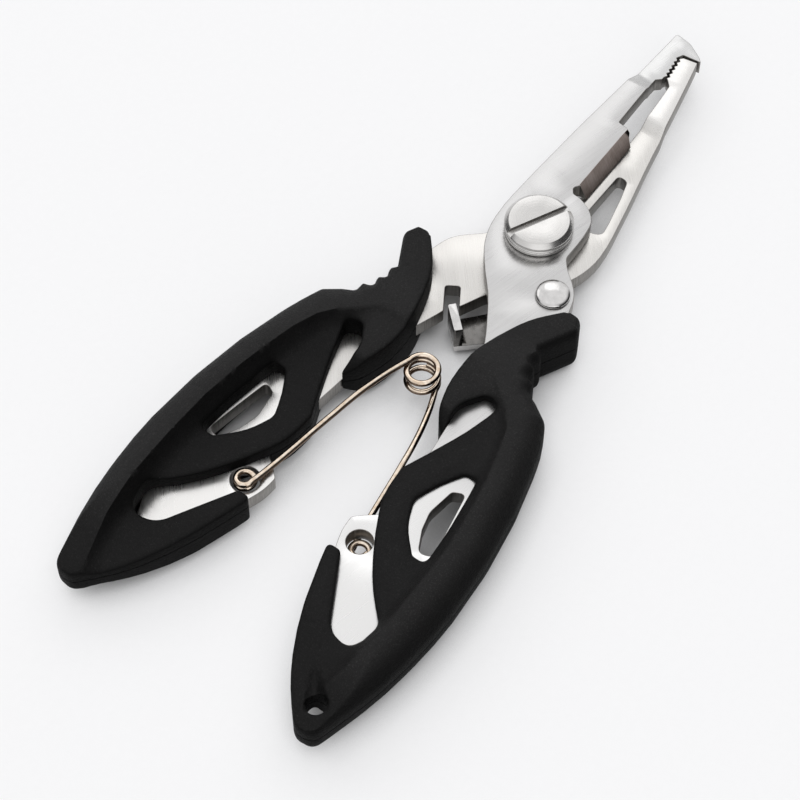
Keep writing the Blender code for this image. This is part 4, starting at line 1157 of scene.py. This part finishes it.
def sky(world):
    """A dim room with soft patches of light, each one (direction, where it starts and is full, colour)."""
    world.use_nodes = True
    tree = world.node_tree
    place = new_node(tree, "ShaderNodeTexCoord").outputs["Generated"]
    light = (*ROOM_COLOUR, 1)
    for direction, (start, full), colour in SKY_PATCHES:
        vectors = {0: place, 1: Vector(direction).normalized()}
        toward = new_node(tree, "ShaderNodeVectorMath", vectors, operation="DOT_PRODUCT")
        limits = {"Value": toward.outputs["Value"], "From Min": start, "From Max": full}
        share = new_node(tree, "ShaderNodeMapRange", limits, interpolation_type="SMOOTHSTEP")
        colours = {0: share.outputs["Result"], 6: light, 7: (*colour, 1)}
        light = new_node(tree, "ShaderNodeMix", colours, data_type="RGBA").outputs[2]
    connect(tree, light, tree.nodes["Background"].inputs["Color"])


def lamp(name, spot, aim, size, power):
    """A square soft light."""
    data = bpy.data.lights.new(name, "AREA")
    data.energy = power
    data.size = size
    light = bpy.data.objects.new(name, data)
    light.location = spot
    light.rotation_euler = (Vector(aim) - Vector(spot)).to_track_quat("-Z", "Y").to_euler()
    bpy.context.scene.collection.objects.link(light)


def studio():
    """Floor, light and camera."""
    corners = ((-1, -1), (1, -1), (1, 1), (-1, 1))
    vertices = [(x * FLOOR_HALF, y * FLOOR_HALF, FLOOR_LEVEL) for x, y in corners]
    floor = finished("floor", vertices, [(0, 1, 2, 3)])
    floor.data.materials.append(paper("white_sweep"))
    world = bpy.data.worlds.new("studio")
    sky(world)
    bpy.context.scene.world = world
    for name, spot, size, power in LAMPS:
        lamp(name, spot, LAMP_AIM, size, power)
    data = bpy.data.cameras.new("camera")
    data.lens = CAMERA_LENS
    data.sensor_width = 36
    data.clip_start = 0.01
    camera = bpy.data.objects.new("camera", data)
    right = Vector(CAMERA_RIGHT)
    up = Vector(CAMERA_UP)
    back = right.cross(up)
    turn = Matrix((right, up, back)).transposed().to_4x4()
    camera.matrix_world = Matrix.Translation(Vector(CAMERA_SPOT) * MM) @ turn
    bpy.context.scene.collection.objects.link(camera)
    bpy.context.scene.camera = camera
    bpy.context.scene.view_settings.view_transform = "Standard"


def dressed_pieces():
    wall = sheared_steel("sheared_wall_and_slot_shade")
    front_steel = brushed_steel("front_brushed_steel", 0.25, (0.535, 0.53, 0.525), 0.0000022, 33.0,
                                (0.59, 0.59, 0.585), (0.75, 0.745, 0.735))
    rear_steel = brushed_steel("rear_brushed_steel", -0.7, (0.63, 0.615, 0.59), 0.000003, 27.2,
                               (0.67, 0.66, 0.645), (0.82, 0.81, 0.79))
    head_steel = turned_steel("turned_steel", (0.60, 0.59, 0.575))
    bright = polished_steel("polished_steel", (0.62, 0.61, 0.60), 0.13)
    # painted shade: a dark tone for the latch, which lies in shade under the levers
    latch_shaded_steel = polished_steel("latch_shaded_steel", (0.20, 0.193, 0.185), 0.22)
    drawn = spring_steel("drawn_wire")
    dress(front_lever(), [front_steel, wall, ground_blade("ground_blade")], "front_half", "front_lever")
    dress(rear_lever(), [rear_steel, wall], "rear_half", "rear_lever")
    grips(moulded_plastic("black_moulded_plastic"))
    dress(slotted_screw(), [head_steel, wall], "front_half", "pivot_screw")
    dress(washer(), [head_steel], "front_half", "pivot_washer")
    dress(barrel_nut(), [head_steel], "front_half", "pivot_barrel_nut")
    dress(rivet(), [bright], "front_half", "latch_rivet")
    dress(spacer(), [bright], "front_half", "latch_spacer")
    dress(latch_plate(), [latch_shaded_steel, bright], "latch", "latch_arm")
    for side, word in ((1, "right"), (-1, "left")):
        coil = wire(f"{word}_wire", spring_path(side), WIRE_RADIUS)
        dress(coil, [drawn], f"spring_{word}", f"spring_{word}_arm")


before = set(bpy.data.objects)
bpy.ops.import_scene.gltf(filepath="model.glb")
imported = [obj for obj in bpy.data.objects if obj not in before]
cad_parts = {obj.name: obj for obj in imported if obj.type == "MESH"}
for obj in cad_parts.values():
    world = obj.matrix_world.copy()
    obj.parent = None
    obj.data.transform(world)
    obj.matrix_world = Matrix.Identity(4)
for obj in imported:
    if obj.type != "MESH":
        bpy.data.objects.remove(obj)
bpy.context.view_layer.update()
dressed_pieces()
studio()
